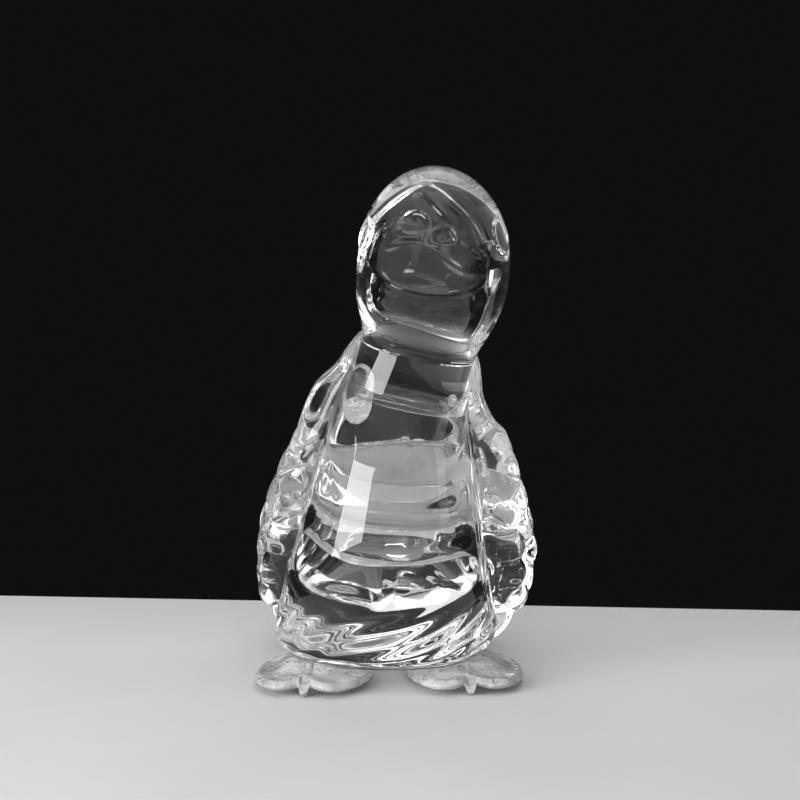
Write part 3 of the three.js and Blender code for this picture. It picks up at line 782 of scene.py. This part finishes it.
def body_underside(x, y):
    """Underside of the body over a place: flat, a quarter ellipse at the rim, and far away beyond it."""
    offset = x - float(spine(BASE))
    angle = np.arctan2(y, offset)
    full = skin_radius(angle, np.full_like(angle, EDGE_TOP))
    within = 1.0 - (full - np.hypot(offset, y)) / EDGE_INSET
    rounded = EDGE_TOP - EDGE_ROUND * np.sqrt(1.0 - np.clip(within, 0.0, 1.0) ** 2)
    return np.where(within > 1.0, BEYOND_BODY, rounded)


# Finishes

def put(node, values):
    """Set a node's sockets to plain values."""
    for name, value in values.items():
        node.inputs[name].default_value = value


def noise(tree, vector, scale, stretch=(1.0, 1.0, 1.0), detail=3.0):
    """A noise value on stretched coordinates."""
    mapping = tree.nodes.new("ShaderNodeMapping")
    put(mapping, {"Scale": stretch})
    texture = tree.nodes.new("ShaderNodeTexNoise")
    put(texture, {"Scale": scale, "Detail": detail})
    tree.links.new(vector, mapping.inputs["Vector"])
    tree.links.new(mapping.outputs["Vector"], texture.inputs["Vector"])
    return texture.outputs["Fac"]


def remap(tree, value, source=(0.0, 1.0), target=(0.0, 1.0)):
    """A value carried smoothly from one range to another and held at its ends."""
    node = tree.nodes.new("ShaderNodeMapRange")
    node.interpolation_type = "SMOOTHSTEP"
    put(node, {"From Min": source[0], "From Max": source[1], "To Min": target[0], "To Max": target[1]})
    tree.links.new(value, node.inputs["Value"])
    return node.outputs["Result"]


def combine(tree, operation, first, second):
    """Two values put together by one step of arithmetic."""
    node = tree.nodes.new("ShaderNodeMath")
    node.operation = operation
    tree.links.new(first, node.inputs[0])
    tree.links.new(second, node.inputs[1])
    return node.outputs["Value"]


def blend(tree, share, first, second):
    """A colour between two, by a value."""
    node = tree.nodes.new("ShaderNodeMix")
    node.data_type = "RGBA"
    put(node, {6: (*first, 1.0), 7: (*second, 1.0)})
    tree.links.new(share, node.inputs[0])
    return node.outputs[2]


def stored(tree, label):
    """A value that the mesh keeps for each point or face."""
    node = tree.nodes.new("ShaderNodeAttribute")
    node.attribute_name = label
    return node.outputs["Fac"]


def marks_group():
    """Shared wear, from 0 to 1: fine sideways scratches, soft waves of the casting and tiny dents."""
    group = bpy.data.node_groups.new("Handling marks", "ShaderNodeTree")
    group.interface.new_socket(name="Vector", in_out="INPUT", socket_type="NodeSocketVector")
    for label in ("Scratches", "Waves", "Dents"):
        group.interface.new_socket(name=label, in_out="OUTPUT", socket_type="NodeSocketFloat")
    vector = group.nodes.new("NodeGroupInput").outputs["Vector"]
    sink = group.nodes.new("NodeGroupOutput")
    scratches = noise(group, vector, scale=40.0, stretch=(2.0, 2.0, 90.0), detail=5.0)
    scratches = remap(group, scratches, source=(0.6, 0.72))
    patches = remap(group, noise(group, vector, scale=55.0), source=(0.45, 0.62))
    group.links.new(combine(group, "MULTIPLY", scratches, patches), sink.inputs["Scratches"])
    group.links.new(noise(group, vector, scale=110.0, detail=1.0), sink.inputs["Waves"])
    cells = group.nodes.new("ShaderNodeTexVoronoi")
    put(cells, {"Scale": 240.0})
    group.links.new(vector, cells.inputs["Vector"])
    dents = remap(group, cells.outputs["Distance"], source=(0.05, 0.28), target=(1.0, 0.0))
    group.links.new(dents, sink.inputs["Dents"])
    return group


def handling_marks(tree, coordinates):
    """The shared wear placed in a material's nodes."""
    marks = tree.nodes.new("ShaderNodeGroup")
    marks.node_tree = bpy.data.node_groups.get("Handling marks") or marks_group()
    tree.links.new(coordinates, marks.inputs["Vector"])
    return marks.outputs


def new_material(name, mottle, edges, colors):
    """A material whose colour drifts between two by noise of a scale and detail, cut at two edges, with
    object coordinates and a bump that feeds its one shader."""
    material = bpy.data.materials.new(name)
    material.use_nodes = True
    tree = material.node_tree
    shader = tree.nodes["Principled BSDF"]
    coordinates = tree.nodes.new("ShaderNodeTexCoord").outputs["Object"]
    drift = remap(tree, noise(tree, coordinates, scale=mottle[0], detail=mottle[1]), source=edges)
    tree.links.new(blend(tree, drift, *colors), shader.inputs["Base Color"])
    bump = tree.nodes.new("ShaderNodeBump")
    tree.links.new(bump.outputs["Normal"], shader.inputs["Normal"])
    return material, tree, shader, coordinates, bump


def clear_acrylic(name, finish):
    """Polished clear casting: full transmission, a faint warm and cool tint, scratches, soft waves."""
    tints = (finish.clear_cool, finish.clear_warm)
    material, tree, shader, coordinates, bump = new_material(name, (60.0, 3.0), (0.35, 0.65), tints)
    put(shader, {"IOR": REFRACTION, "Transmission Weight": 1.0})
    marks = handling_marks(tree, coordinates)
    polish = remap(tree, marks["Scratches"], target=(finish.clear_roughness, finish.scratch_roughness))
    unpolished = remap(tree, stored(tree, "groove"), target=(0.0, finish.groove_roughness))
    tree.links.new(combine(tree, "ADD", polish, unpolished), shader.inputs["Roughness"])
    cut = remap(tree, marks["Scratches"], target=(0.0, -0.12))
    tree.links.new(combine(tree, "ADD", marks["Waves"], cut), bump.inputs["Height"])
    put(bump, {"Strength": 0.5, "Distance": finish.wave_depth})
    tree.links.new(stored(tree, "open_share"), shader.inputs["Alpha"])
    return material


def frosted_acrylic(name, finish):
    """Frosted casting: cloudy grey-white, blurred transmission, pits and a fine grain."""
    clouds = (finish.frost_dark, finish.frost_light)
    material, tree, shader, coordinates, bump = new_material(name, (140.0, 5.0), (0.35, 0.65), clouds)
    put(shader, {"IOR": REFRACTION, "Transmission Weight": 0.5})
    marks = handling_marks(tree, coordinates)
    roughness = (finish.frost_roughness * 0.5, finish.frost_roughness)
    frost = remap(tree, noise(tree, coordinates, scale=90.0), source=(0.35, 0.65), target=roughness)
    tree.links.new(frost, shader.inputs["Roughness"])
    pits = remap(tree, marks["Dents"], target=(0.0, -0.5))
    grain = combine(tree, "ADD", noise(tree, coordinates, scale=300.0, detail=4.0), pits)
    tree.links.new(grain, bump.inputs["Height"])
    put(bump, {"Strength": 1.0, "Distance": finish.grain_depth})
    tree.links.new(stored(tree, "open_share"), shader.inputs["Alpha"])
    return material


def floor_paint(stage):
    """Plain matt board: a pale colour with a faint mottle and grain."""
    paints = ([channel * 0.96 for channel in stage.floor_color], stage.floor_color)
    material, tree, shader, coordinates, bump = new_material("Pale board", (18.0, 4.0), (0.3, 0.7), paints)
    put(shader, {"Roughness": 0.7})
    tree.links.new(noise(tree, coordinates, scale=900.0), bump.inputs["Height"])
    put(bump, {"Strength": 0.1, "Distance": 0.0002})
    return material


FINISHES = {"clear_acrylic": clear_acrylic, "frosted_acrylic": frosted_acrylic}


def add_piece(context, mesh, node, slot):
    """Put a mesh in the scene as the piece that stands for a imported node, in its slot's finish."""
    label = slot.replace("_", " ").capitalize()
    material = bpy.data.materials.get(label) or FINISHES[slot](label, context.scene.duckling_finish)
    mesh.materials.append(material)
    piece = bpy.data.objects.new("duckling_" + node, mesh)
    context.collection.objects.link(piece)
    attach(piece, "root")
    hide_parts(node)


# What a user may change

def length_setting(name, about, default, least=0.0):
    """A length, in metres."""
    return FloatProperty(name=name, description=about, default=default, min=least, unit="LENGTH")


def share_setting(name, about, default):
    """A share from 0 to 1."""
    return FloatProperty(name=name, description=about, default=default, min=0.0, max=1.0, subtype="FACTOR")


def color_setting(name, about, default, most=1.0):
    """A colour."""
    limits = {"min": 0.0, "max": most}
    return FloatVectorProperty(name=name, description=about, default=default, subtype="COLOR", **limits)


def power_setting(name, about, default):
    """A lamp's power, in watts."""
    return FloatProperty(name=name, description=about, default=default, min=0.0, unit="POWER")


def angle_setting(name, about, degrees):
    """An angle, given in degrees."""
    return FloatProperty(name=name, description=about, default=math.radians(degrees), subtype="ANGLE")


class DucklingCarving(bpy.types.PropertyGroup):
    """Depths and sizes of the carved lines and feathers"""

    root_depth: length_setting("Bill root", "Depth of the line round the bill's root", 0.0006)
    hood_depth: length_setting("Hood", "Depth of the step under the brow", 0.0008)
    fold_depth: length_setting("Fold", "Depth of the fold inside the brow", 0.0009)
    gape_depth: length_setting("Gape", "Depth of the line between the halves of the bill", 0.0008)
    rim_depth: length_setting("Bill rim", "Depth of the step under the bill's rim", 0.001)
    nostril_depth: length_setting("Nostrils", "Depth of the oval nostrils", 0.0012)
    ripple_depth: length_setting("Belly ripples", "Depth of the ripples at the foot of the chest", 0.0003)
    swell_height: length_setting("Back", "Height of the soft swelling over the rump", 0.002)
    chest_depth: length_setting("Chest lines", "Depth of the lines beside the chest", 0.0004)
    feather_relief: length_setting("Feather relief", "Height of the small feathers", 0.0015)
    feather_width: length_setting("Feather width", "Width of a small feather", 0.0074, least=0.002)
    feather_pitch: length_setting("Feather pitch", "Distance between rows of feathers", 0.0076, least=0.002)


class DucklingFinish(bpy.types.PropertyGroup):
    """Colours and polish of the castings"""

    clear_cool: color_setting("Clear, cool", "Cooler tint of the clear castings", (0.97, 0.985, 1.0))
    clear_warm: color_setting("Clear, warm", "Warmer tint of the clear castings", (1.0, 0.99, 0.975))
    clear_roughness: share_setting("Polish", "Roughness of the polished faces", 0.01)
    scratch_roughness: share_setting("Scratches", "Roughness in the fine scratches", 0.12)
    groove_roughness: share_setting("Grooves", "Roughness added in the carved lines", 0.03)
    wave_depth: length_setting("Waves", "Depth of the casting's soft waves", 0.00004)
    film: share_setting("Cement film", "How much the cement in the neck joint shows", 0.3)
    frost_light: color_setting("Frost, light", "Lighter clouds of the feet", (0.86, 0.87, 0.87))
    frost_dark: color_setting("Frost, dark", "Darker clouds of the feet", (0.58, 0.59, 0.6))
    frost_roughness: share_setting("Frost", "Roughness of the frosted feet", 0.2)
    grain_depth: length_setting("Frost grain", "Depth of the grain of the frosted feet", 0.0016)


class DucklingStage(bpy.types.PropertyGroup):
    """Floor, light and camera"""

    floor_color: color_setting("Floor", "Colour of the floor", (0.6, 0.6, 0.6))
    floor_width: length_setting("Floor width", "Width of the floor", 0.9, least=0.1)
    floor_depth: length_setting("Floor depth", "Depth of the floor", 0.6, least=0.1)
    floor_back: length_setting("Floor edge", "Far edge behind the figurine's middle", 0.062, least=0.05)
    backdrop_color: color_setting("Backdrop", "Colour behind the figurine", (0.005, 0.005, 0.0055))
    room_color: color_setting("Room", "Colour of the room before the figurine", (0.06, 0.06, 0.062))
    ceiling_color: color_setting("Ceiling", "Colour of the soft light overhead", (0.88, 0.88, 0.88), most=2.0)
    key_power: power_setting("Key lamp", "Power of the soft lamp at the front left", 6.0)
    top_power: power_setting("Top lamp", "Power of the soft lamp overhead", 0.8)
    back_power: power_setting("Back lamp", "Power of the soft lamp high behind", 0.8)
    side_power: power_setting("Side lamp", "Power of the soft lamp at the right", 0.35)
    azimuth: angle_setting("Azimuth", "Camera's turn round the figurine", 4.5)
    elevation: angle_setting("Elevation", "Camera's angle above the floor", 11.0)
    distance: length_setting("Distance", "Camera's distance", 1.0, least=0.2)
    focal_length: FloatProperty(name="Focal length", description="Camera's lens, in millimetres",
                                default=176.8, min=10.0)


# Operators

class DUCKLING_OT_body(bpy.types.Operator):
    """Body: chest, belly and rump up to the neck joint"""

    bl_idname = "duckling.body"
    bl_label = "Body"

    def execute(self, context):
        carving = context.scene.duckling_carving
        finish = context.scene.duckling_finish
        angle = full_turn(BODY_COLUMNS)
        rounding = EDGE_TOP - EDGE_ROUND * np.cos(quarter_turn(ROUNDING_ROWS))
        level = np.concatenate([rounding, np.linspace(EDGE_TOP, JOINT, BODY_ROWS)])
        angles, levels = np.meshgrid(angle, level)
        under_wing = wing_cover(angles, levels)
        lines = chest_lines(angles, levels, carving.chest_depth / MILLIMETRE)
        ripples = belly_ripples(angles, levels, carving.ripple_depth / MILLIMETRE)
        swell = back_swell(angles, levels, carving.swell_height / MILLIMETRE)
        swell = swell * smoothstep(-under_wing, *SWELL_CLEAR)
        radius = skin_radius(angles, levels) - lines - ripples + swell
        wall = skin_point(angles, levels, radius)
        sole = flat_face(angle, BASE, radius[0], BODY_SOLE_SHARES)
        lid = flat_face(angle, JOINT, radius[-1], LID_SHARES[::-1])
        first = spine_point(BASE)
        mesh = closed_mesh("duckling_body", np.concatenate([sole, wall, lid]), first, spine_point(JOINT))
        under = np.concatenate([sole, wall])
        joined = np.maximum(under_wing, self.tail_cover(wall))
        joined = np.concatenate([np.full(sole.shape[:2], -1.0), joined])
        joined = np.where(under[..., 2] < EDGE_TOP, np.maximum(joined, self.foot_cover(under)), joined)
        film = np.full(lid.shape[:2], finish.film)
        ends = (open_share(self.foot_cover(first)), finish.film)
        store(mesh, "open_share", "POINT", open_share(joined), film, ends)
        add_piece(context, mesh, "body", "clear_acrylic")
        return {"FINISHED"}

    @staticmethod
    def tail_cover(points):
        """How far inside the tail's oval root a point on the back lies, in millimetres."""
        across = (points[..., 0] - float(spine(TAIL_LEVEL))) / (TAIL_WIDTH / 2)
        up = (points[..., 2] - TAIL_LEVEL) / (TAIL_HEIGHT / 2)
        return np.where(points[..., 1] > 0, (1.0 - np.hypot(across, up)) * TAIL_HEIGHT / 2, -1.0)

    @staticmethod
    def foot_cover(points):
        """How far a point on the underside lies inside the nearer foot, in millimetres."""
        covers = []
        for side in (LEFT, RIGHT):
            share, angle = foot_share(side, points[..., 0], points[..., 1])
            top = foot_top(np.minimum(share, 1.0), angle)
            covers.append(np.where(share < 1.0, top - points[..., 2], -1.0))
        return np.maximum(*covers)


class DUCKLING_OT_head(bpy.types.Operator):
    """Head: neck, head and bill above the neck joint, with the bill's lines and the recesses of the eyes"""

    bl_idname = "duckling.head"
    bl_label = "Head"

    def execute(self, context):
        finish = context.scene.duckling_finish
        angle = full_turn(HEAD_COLUMNS)
        neck = np.linspace(JOINT, HEAD_BELLY, NECK_ROWS, endpoint=False)
        crown = lerp(HEAD_BELLY, CROWN, np.sin(quarter_turn(CROWN_ROWS)))
        angles, levels = np.meshgrid(angle, np.concatenate([neck, crown]))
        smooth = skin_radius(angles, levels)
        recess, inside = eye_recess(skin_point(angles, levels, smooth))
        lines = head_lines(angles, levels, context.scene.duckling_carving)
        lines = np.where(levels > WAIST, lines, 0.0)
        radius = smooth - recess - lines
        lift = np.array([0.0, 0.0, NECK_GAP])
        lid = flat_face(angle, JOINT, radius[0], LID_SHARES) + lift
        rings = np.concatenate([lid, skin_point(angles, levels, radius)])
        mesh = closed_mesh("duckling_head", rings, spine_point(JOINT) + lift, spine_point(CROWN))
        film = np.full(lid.shape[:2], finish.film)
        joined = np.maximum(wing_cover(angles, levels), inside)
        store(mesh, "open_share", "POINT", film, open_share(joined), (finish.film, 1.0))
        store(mesh, "groove", "POINT", 0.0 * film, smoothstep(lines, *GROOVE_DEPTHS), (0.0, 0.0))
        add_piece(context, mesh, "head", "clear_acrylic")
        return {"FINISHED"}


class DUCKLING_OT_wings(bpy.types.Operator):
    """Wings: two pads on the skin with a long shoulder feather and rows of small feathers"""

    bl_idname = "duckling.wings"
    bl_label = "Wings"

    def execute(self, context):
        for side, node in ((LEFT, "wing_left"), (RIGHT, "wing_right")):
            self.wing(context, side, node)
        return {"FINISHED"}

    @staticmethod
    def wing(context, side, node):
        """Rings from the lower end up, each out over the feathers and back along the skin. The thickness is
        a pillow, the root of (1 - p^a)(1 - q^b) over shares p and q of the half-width and half-height,
        times the sum of thickness, relief and swelling. The relief also bulges the round edges sideways."""
        carving = context.scene.duckling_carving
        top = WING_TOPS[side]
        up = -np.cos(math.pi * np.arange(1, WING_ROWS) / WING_ROWS)[:, None]
        over = -np.cos(math.pi * np.arange(WING_OUTER_COLUMNS) / WING_OUTER_COLUMNS)
        back = 1.0 - 2.0 * np.arange(WING_INNER_COLUMNS) / WING_INNER_COLUMNS
        across = np.concatenate([over, back])[None]
        outside = np.arange(across.size) < WING_OUTER_COLUMNS
        reach, middle = wing_outline(up)
        angle = mirrored(side, middle) + reach * across
        levels = np.broadcast_to(lerp(WING_BOTTOM, top, (up + 1.0) / 2), angle.shape)
        ends = 1.0 - np.abs(up) ** np.where(up > 0, WING_TOP_ROUND, WING_FOOT_ROUND)
        sides = 1.0 - np.abs(across) ** WING_ROUND
        pillow = np.sqrt(np.maximum(0.0, sides * ends))
        behind = RUMP_WIDTH / 2 * (middle - WING_MIDDLE + WING_HALF + side * reach * across)
        relief = feather_relief(behind, top - levels, carving)
        swell = back_swell(angle, levels, carving.swell_height / MILLIMETRE)
        thickness = pillow * (WING_THICKNESS - SCALE_RELIEF + relief + swell)
        bulge = np.sqrt(1.0 - sides) * smoothstep(np.sqrt(sides), *ROUND_EDGE) * (relief - SCALE_RELIEF / 2)
        angle = angle + np.where(outside, np.sign(across) * bulge / (RUMP_WIDTH / 2), 0.0)
        radius = skin_radius(angle, levels) - SUNK + np.where(outside, thickness, 0.0)
        rings = skin_point(angle, levels, radius)
        tip_angles = mirrored(side, wing_outline(np.array([-1.0, 1.0]))[1])
        tip_levels = np.array([WING_BOTTOM, top])
        tips = skin_point(tip_angles, tip_levels, skin_radius(tip_angles, tip_levels) - SUNK)
        mesh = closed_mesh("duckling_" + node, rings, tips[0], tips[1])
        store(mesh, "open_share", "FACE", np.tile(outside, WING_ROWS))
        grooves = np.where(outside, 1.0 - smoothstep(relief, *FEATHER_GROOVES), 0.0)
        store(mesh, "groove", "POINT", grooves, (0.0, 0.0))
        add_piece(context, mesh, node, "clear_acrylic")


class DUCKLING_OT_tail(bpy.types.Operator):
    """Tail: an upturned fan of feathers whose oval root follows the rump"""

    bl_idname = "duckling.tail"
    bl_label = "Tail"

    def execute(self, context):
        turn = -full_turn(TAIL_COLUMNS)
        across = np.cos(turn)[None]
        up = np.sin(turn)[None]
        root = self.on_rump(TAIL_ROOT_SHARES * across, TAIL_ROOT_SHARES * up)
        middle = self.on_rump(np.zeros(1), np.zeros(1))[0]
        along = np.linspace(0.0, 1.0, TAIL_ROWS + 1)[1:, None]
        close = np.sqrt(1.0 - TAIL_TAPER * along ** TAIL_CLOSE_POWER)
        width = lerp(TAIL_WIDTH, TAIL_FAN_WIDTH, along) * lerp(1.0, close, TAIL_CLOSE_WIDTH)
        height = lerp(TAIL_HEIGHT, TAIL_TIP_HEIGHT, smoothstep(along, 0.0, 1.0)) * close
        lobes = np.abs(np.cos(TAIL_FEATHERS * QUARTER * across)) - 1.0
        straight = middle[1] + TAIL_LENGTH * along + TAIL_SCALLOP * along ** 2 * lobes
        back = lerp(root[-1:, :, 1], straight, smoothstep(along, *TAIL_ROOT_SPAN))
        grooved = 1.0 + TAIL_GROOVE * smoothstep(along, *TAIL_GROOVE_SPAN) * lobes
        rise = TAIL_LEVEL + TAIL_UPTURN * along ** TAIL_CURL + up * height / 2 * grooved
        fan = np.stack([middle[0] + across * width / 2, back, rise], axis=-1)
        tip = [middle[0], middle[1] + TAIL_LENGTH, TAIL_LEVEL + TAIL_UPTURN]
        mesh = closed_mesh("duckling_tail", np.concatenate([root, fan]), middle, tip)
        shown = np.concatenate([np.zeros(len(TAIL_ROOT_SHARES) - 1), np.ones(TAIL_ROWS), [0.0, 1.0]])
        store(mesh, "open_share", "FACE", np.repeat(shown, TAIL_COLUMNS))
        add_piece(context, mesh, "tail", "clear_acrylic")
        return {"FINISHED"}

    @staticmethod
    def on_rump(across, up):
        """Points of the oval root carried straight back onto the skin, found by halving a span."""
        offset = across * TAIL_WIDTH / 2
        level = TAIL_LEVEL + up * TAIL_HEIGHT / 2
        near = np.zeros_like(offset)
        far = np.full_like(offset, 2.0 * RUMP_REACH)
        for _ in range(HALVINGS):
            half = (near + far) / 2
            inside = np.hypot(offset, half) < skin_radius(np.arctan2(half, offset), level) - SUNK
            near = np.where(inside, half, near)
            far = np.where(inside, far, half)
        return np.stack([float(spine(TAIL_LEVEL)) + offset, far, level], axis=-1)


class DUCKLING_OT_eyes(bpy.types.Operator):
    """Eyes: two domed round plugs in the head's recesses"""

    bl_idname = "duckling.eyes"
    bl_label = "Eyes"

    def execute(self, context):
        turn = full_turn(EYE_COLUMNS)[:, None]
        dome = quarter_turn(EYE_ROWS)
        radius = EYE_DIAMETER / 2 * np.concatenate([[1.0], np.cos(dome)])[:, None, None]
        bulge = EYE_PROUD - EYE_DOME + EYE_DOME * np.sin(dome)
        height = np.concatenate([[-EYE_RECESS], bulge])[:, None, None]
        shown = np.concatenate([np.ones(EYE_ROWS), [0.0, 1.0]])
        for side, node in ((LEFT, "eye_left"), (RIGHT, "eye_right")):
            middle, look, first, second = eye_frame(side)
            rings = middle + radius * (np.cos(turn) * first + np.sin(turn) * second) + height * look
            bottom = middle - EYE_RECESS * look
            mesh = closed_mesh("duckling_" + node, rings, bottom, middle + EYE_PROUD * look)
            store(mesh, "open_share", "FACE", np.repeat(shown, EYE_COLUMNS))
            add_piece(context, mesh, node, "clear_acrylic")
        return {"FINISHED"}


class DUCKLING_OT_feet(bpy.types.Operator):
    """Feet: two frosted webs with a rounded rim, hollow toes and a small claw under the notch"""

    bl_idname = "duckling.feet"
    bl_label = "Feet"

    def execute(self, context):
        for side, node in ((LEFT, "foot_left"), (RIGHT, "foot_right")):
            self.foot(context, side, node)
        return {"FINISHED"}

    @staticmethod
    def foot(context, side, node):
        """Rings from the middle of the sole out to the rim and back over the top. The sole's edge is a
        quarter ellipse, the top's a superellipse, and the top is pressed to the body's underside."""
        angle = foot_turns(FOOT_COLUMNS)[None]
        rim = FOOT_EDGE / 2
        beyond = np.concatenate([np.zeros(len(FOOT_SOLE_SHARES)), np.sin(FOOT_RIM_TURNS)])[:, None]
        share = np.concatenate([FOOT_SOLE_SHARES, lerp(SOLE_PART, 1.0, np.sin(FOOT_RIM_TURNS))])[:, None]
        x, y = foot_plan(side, share, angle)
        z = rim * (1.0 - np.sqrt(1.0 - beyond ** 2)) + web_lift(share, angle)
        sole = np.stack([x, y, z], axis=-1)
        share = np.concatenate([FOOT_BROW_SHARES, FOOT_TOP_SHARES])[:, None]
        x, y = foot_plan(side, share, angle)
        free = foot_top(share, angle)
        under = body_underside(x, y) + SUNK
        low = rim + web_lift(share, angle)
        z = low + (np.minimum(free, under) - low) * np.sqrt(1.0 - share ** FOOT_ROUND)
        top = np.stack([x, y, z], axis=-1)
        x, y, _ = foot_frame(side)
        peak = min(foot_top(0.0, 0.0), body_underside(np.array(x), np.array(y)) + SUNK)
        mesh = closed_mesh("duckling_" + node, np.concatenate([sole, top]), [x, y, 0.0], [x, y, float(peak)])
        store(mesh, "open_share", "POINT", np.ones(sole.shape[:2]), open_share(free - under), (1.0, 0.0))
        add_piece(context, mesh, node, "frosted_acrylic")


class DUCKLING_OT_stage(bpy.types.Operator):
    """Stage: a pale floor, a dim room with a dark backdrop, four soft lamps and the camera"""

    bl_idname = "duckling.stage"
    bl_label = "Stage"

    def execute(self, context):
        stage = context.scene.duckling_stage
        self.floor(context, stage)
        self.surroundings(context, stage)
        for *place, power in LAMPS:
            self.lamp(context, *place, getattr(stage, power))
        self.camera(context, stage)
        context.scene.view_settings.view_transform = "Standard"
        context.scene.cycles.max_bounces = BOUNCES
        context.scene.cycles.transmission_bounces = BOUNCES
        context.scene.cycles.glossy_bounces = GLOSSY_BOUNCES
        context.scene.cycles.transparent_max_bounces = TRANSPARENT_BOUNCES
        return {"FINISHED"}

    @staticmethod
    def floor(context, stage):
        """A board: rings of a nearly square superellipse from under its middle round the rim and back."""
        turn = full_turn(BOARD_COLUMNS)
        outline = superellipse(turn, stage.floor_width / 2, stage.floor_depth / 2, BOARD_SQUARENESS)
        share, height = np.array(BOARD_RINGS).T[..., None]
        middle = np.array([0.0, (stage.floor_back - stage.floor_depth / 2) / MILLIMETRE, -BOARD_GAP]) - PLACE
        flat = share * outline / MILLIMETRE
        height = np.broadcast_to(height, flat.shape)
        rings = np.stack([flat * np.cos(turn), flat * np.sin(turn), height], axis=-1)
        mesh = closed_mesh("floor", middle + rings, middle - [0.0, 0.0, BOARD_THICKNESS], middle)
        mesh.materials.append(floor_paint(stage))
        board = bpy.data.objects.new("floor", mesh)
        context.collection.objects.link(board)

    @staticmethod
    def surroundings(context, stage):
        """A room, dim before the figurine and dark behind it, that brightens to a soft ceiling."""
        world = bpy.data.worlds.new("surroundings")
        world.use_nodes = True
        tree = world.node_tree
        direction = tree.nodes.new("ShaderNodeSeparateXYZ")
        tree.links.new(tree.nodes.new("ShaderNodeTexCoord").outputs["Generated"], direction.inputs["Vector"])
        behind = remap(tree, direction.outputs["Y"], source=(-0.4, 0.75))
        overhead = remap(tree, direction.outputs["Z"], source=(0.3, 1.0))
        color = blend(tree, overhead, stage.room_color, stage.ceiling_color)
        walls = blend(tree, behind, stage.room_color, stage.backdrop_color)
        tree.links.new(walls, color.node.inputs[6])
        tree.links.new(color, tree.nodes["Background"].inputs["Color"])
        context.scene.world = world

    @staticmethod
    def away(azimuth, elevation):
        """Direction from the figurine: azimuth from the front to its left, elevation from the floor."""
        flat = math.cos(elevation)
        return Vector((math.sin(azimuth) * flat, -math.cos(azimuth) * flat, math.sin(elevation)))

    @classmethod
    def lamp(cls, context, name, azimuth, elevation, distance, size, power):
        """A soft rectangular lamp that faces the figurine's middle."""
        light = bpy.data.lights.new(name, "AREA")
        light.shape = "RECTANGLE"
        light.size, light.size_y = size
        light.energy = power
        lamp = bpy.data.objects.new(name, light)
        back = cls.away(math.radians(azimuth), math.radians(elevation))
        lamp.location = LAMP_AIM + back * distance
        lamp.rotation_euler = (-back).to_track_quat("-Z", "Y").to_euler()
        context.collection.objects.link(lamp)

    @classmethod
    def camera(cls, context, stage):
        """The photograph's view: turned and raised about the figurine, set a little right and up."""
        lens = bpy.data.cameras.new("camera")
        lens.lens = stage.focal_length
        lens.sensor_width = SENSOR_WIDTH
        camera = bpy.data.objects.new("camera", lens)
        back = cls.away(stage.azimuth, stage.elevation)
        turn = (-back).to_track_quat("-Z", "Y")
        camera.location = CAMERA_AIM + turn @ CAMERA_SHIFT + back * stage.distance
        camera.rotation_euler = turn.to_euler()
        context.collection.objects.link(camera)
        context.scene.camera = camera


SETTINGS = {
    "duckling_carving": DucklingCarving,
    "duckling_finish": DucklingFinish,
    "duckling_stage": DucklingStage,
}
OPERATORS = (DUCKLING_OT_body, DUCKLING_OT_head, DUCKLING_OT_wings, DUCKLING_OT_tail, DUCKLING_OT_eyes,
             DUCKLING_OT_feet, DUCKLING_OT_stage)


class DUCKLING_PT_panel(bpy.types.Panel):
    """Duckling's pieces and settings"""

    bl_label = "Duckling"
    bl_idname = "DUCKLING_PT_panel"
    bl_space_type = "VIEW_3D"
    bl_region_type = "UI"
    bl_category = "Duckling"

    def draw(self, context):
        for label in SETTINGS:
            group = getattr(context.scene, label)
            box = self.layout.box()
            for name in group.__annotations__:
                box.prop(group, name)
        for operator in OPERATORS:
            self.layout.operator(operator.bl_idname)


CLASSES = (*SETTINGS.values(), *OPERATORS, DUCKLING_PT_panel)


def register():
    """Add the classes and the scene's settings."""
    for part in CLASSES:
        bpy.utils.register_class(part)
    for label, group in SETTINGS.items():
        setattr(bpy.types.Scene, label, PointerProperty(type=group))


def unregister():
    """Take the scene's settings and the classes away."""
    for label in SETTINGS:
        delattr(bpy.types.Scene, label)
    for part in reversed(CLASSES):
        bpy.utils.unregister_class(part)


def main():
    """Build every piece and the stage."""
    register()
    bpy.ops.duckling.body()
    bpy.ops.duckling.head()
    bpy.ops.duckling.wings()
    bpy.ops.duckling.tail()
    bpy.ops.duckling.eyes()
    bpy.ops.duckling.feet()
    bpy.ops.duckling.stage()


if __name__ == "__main__":
    main()
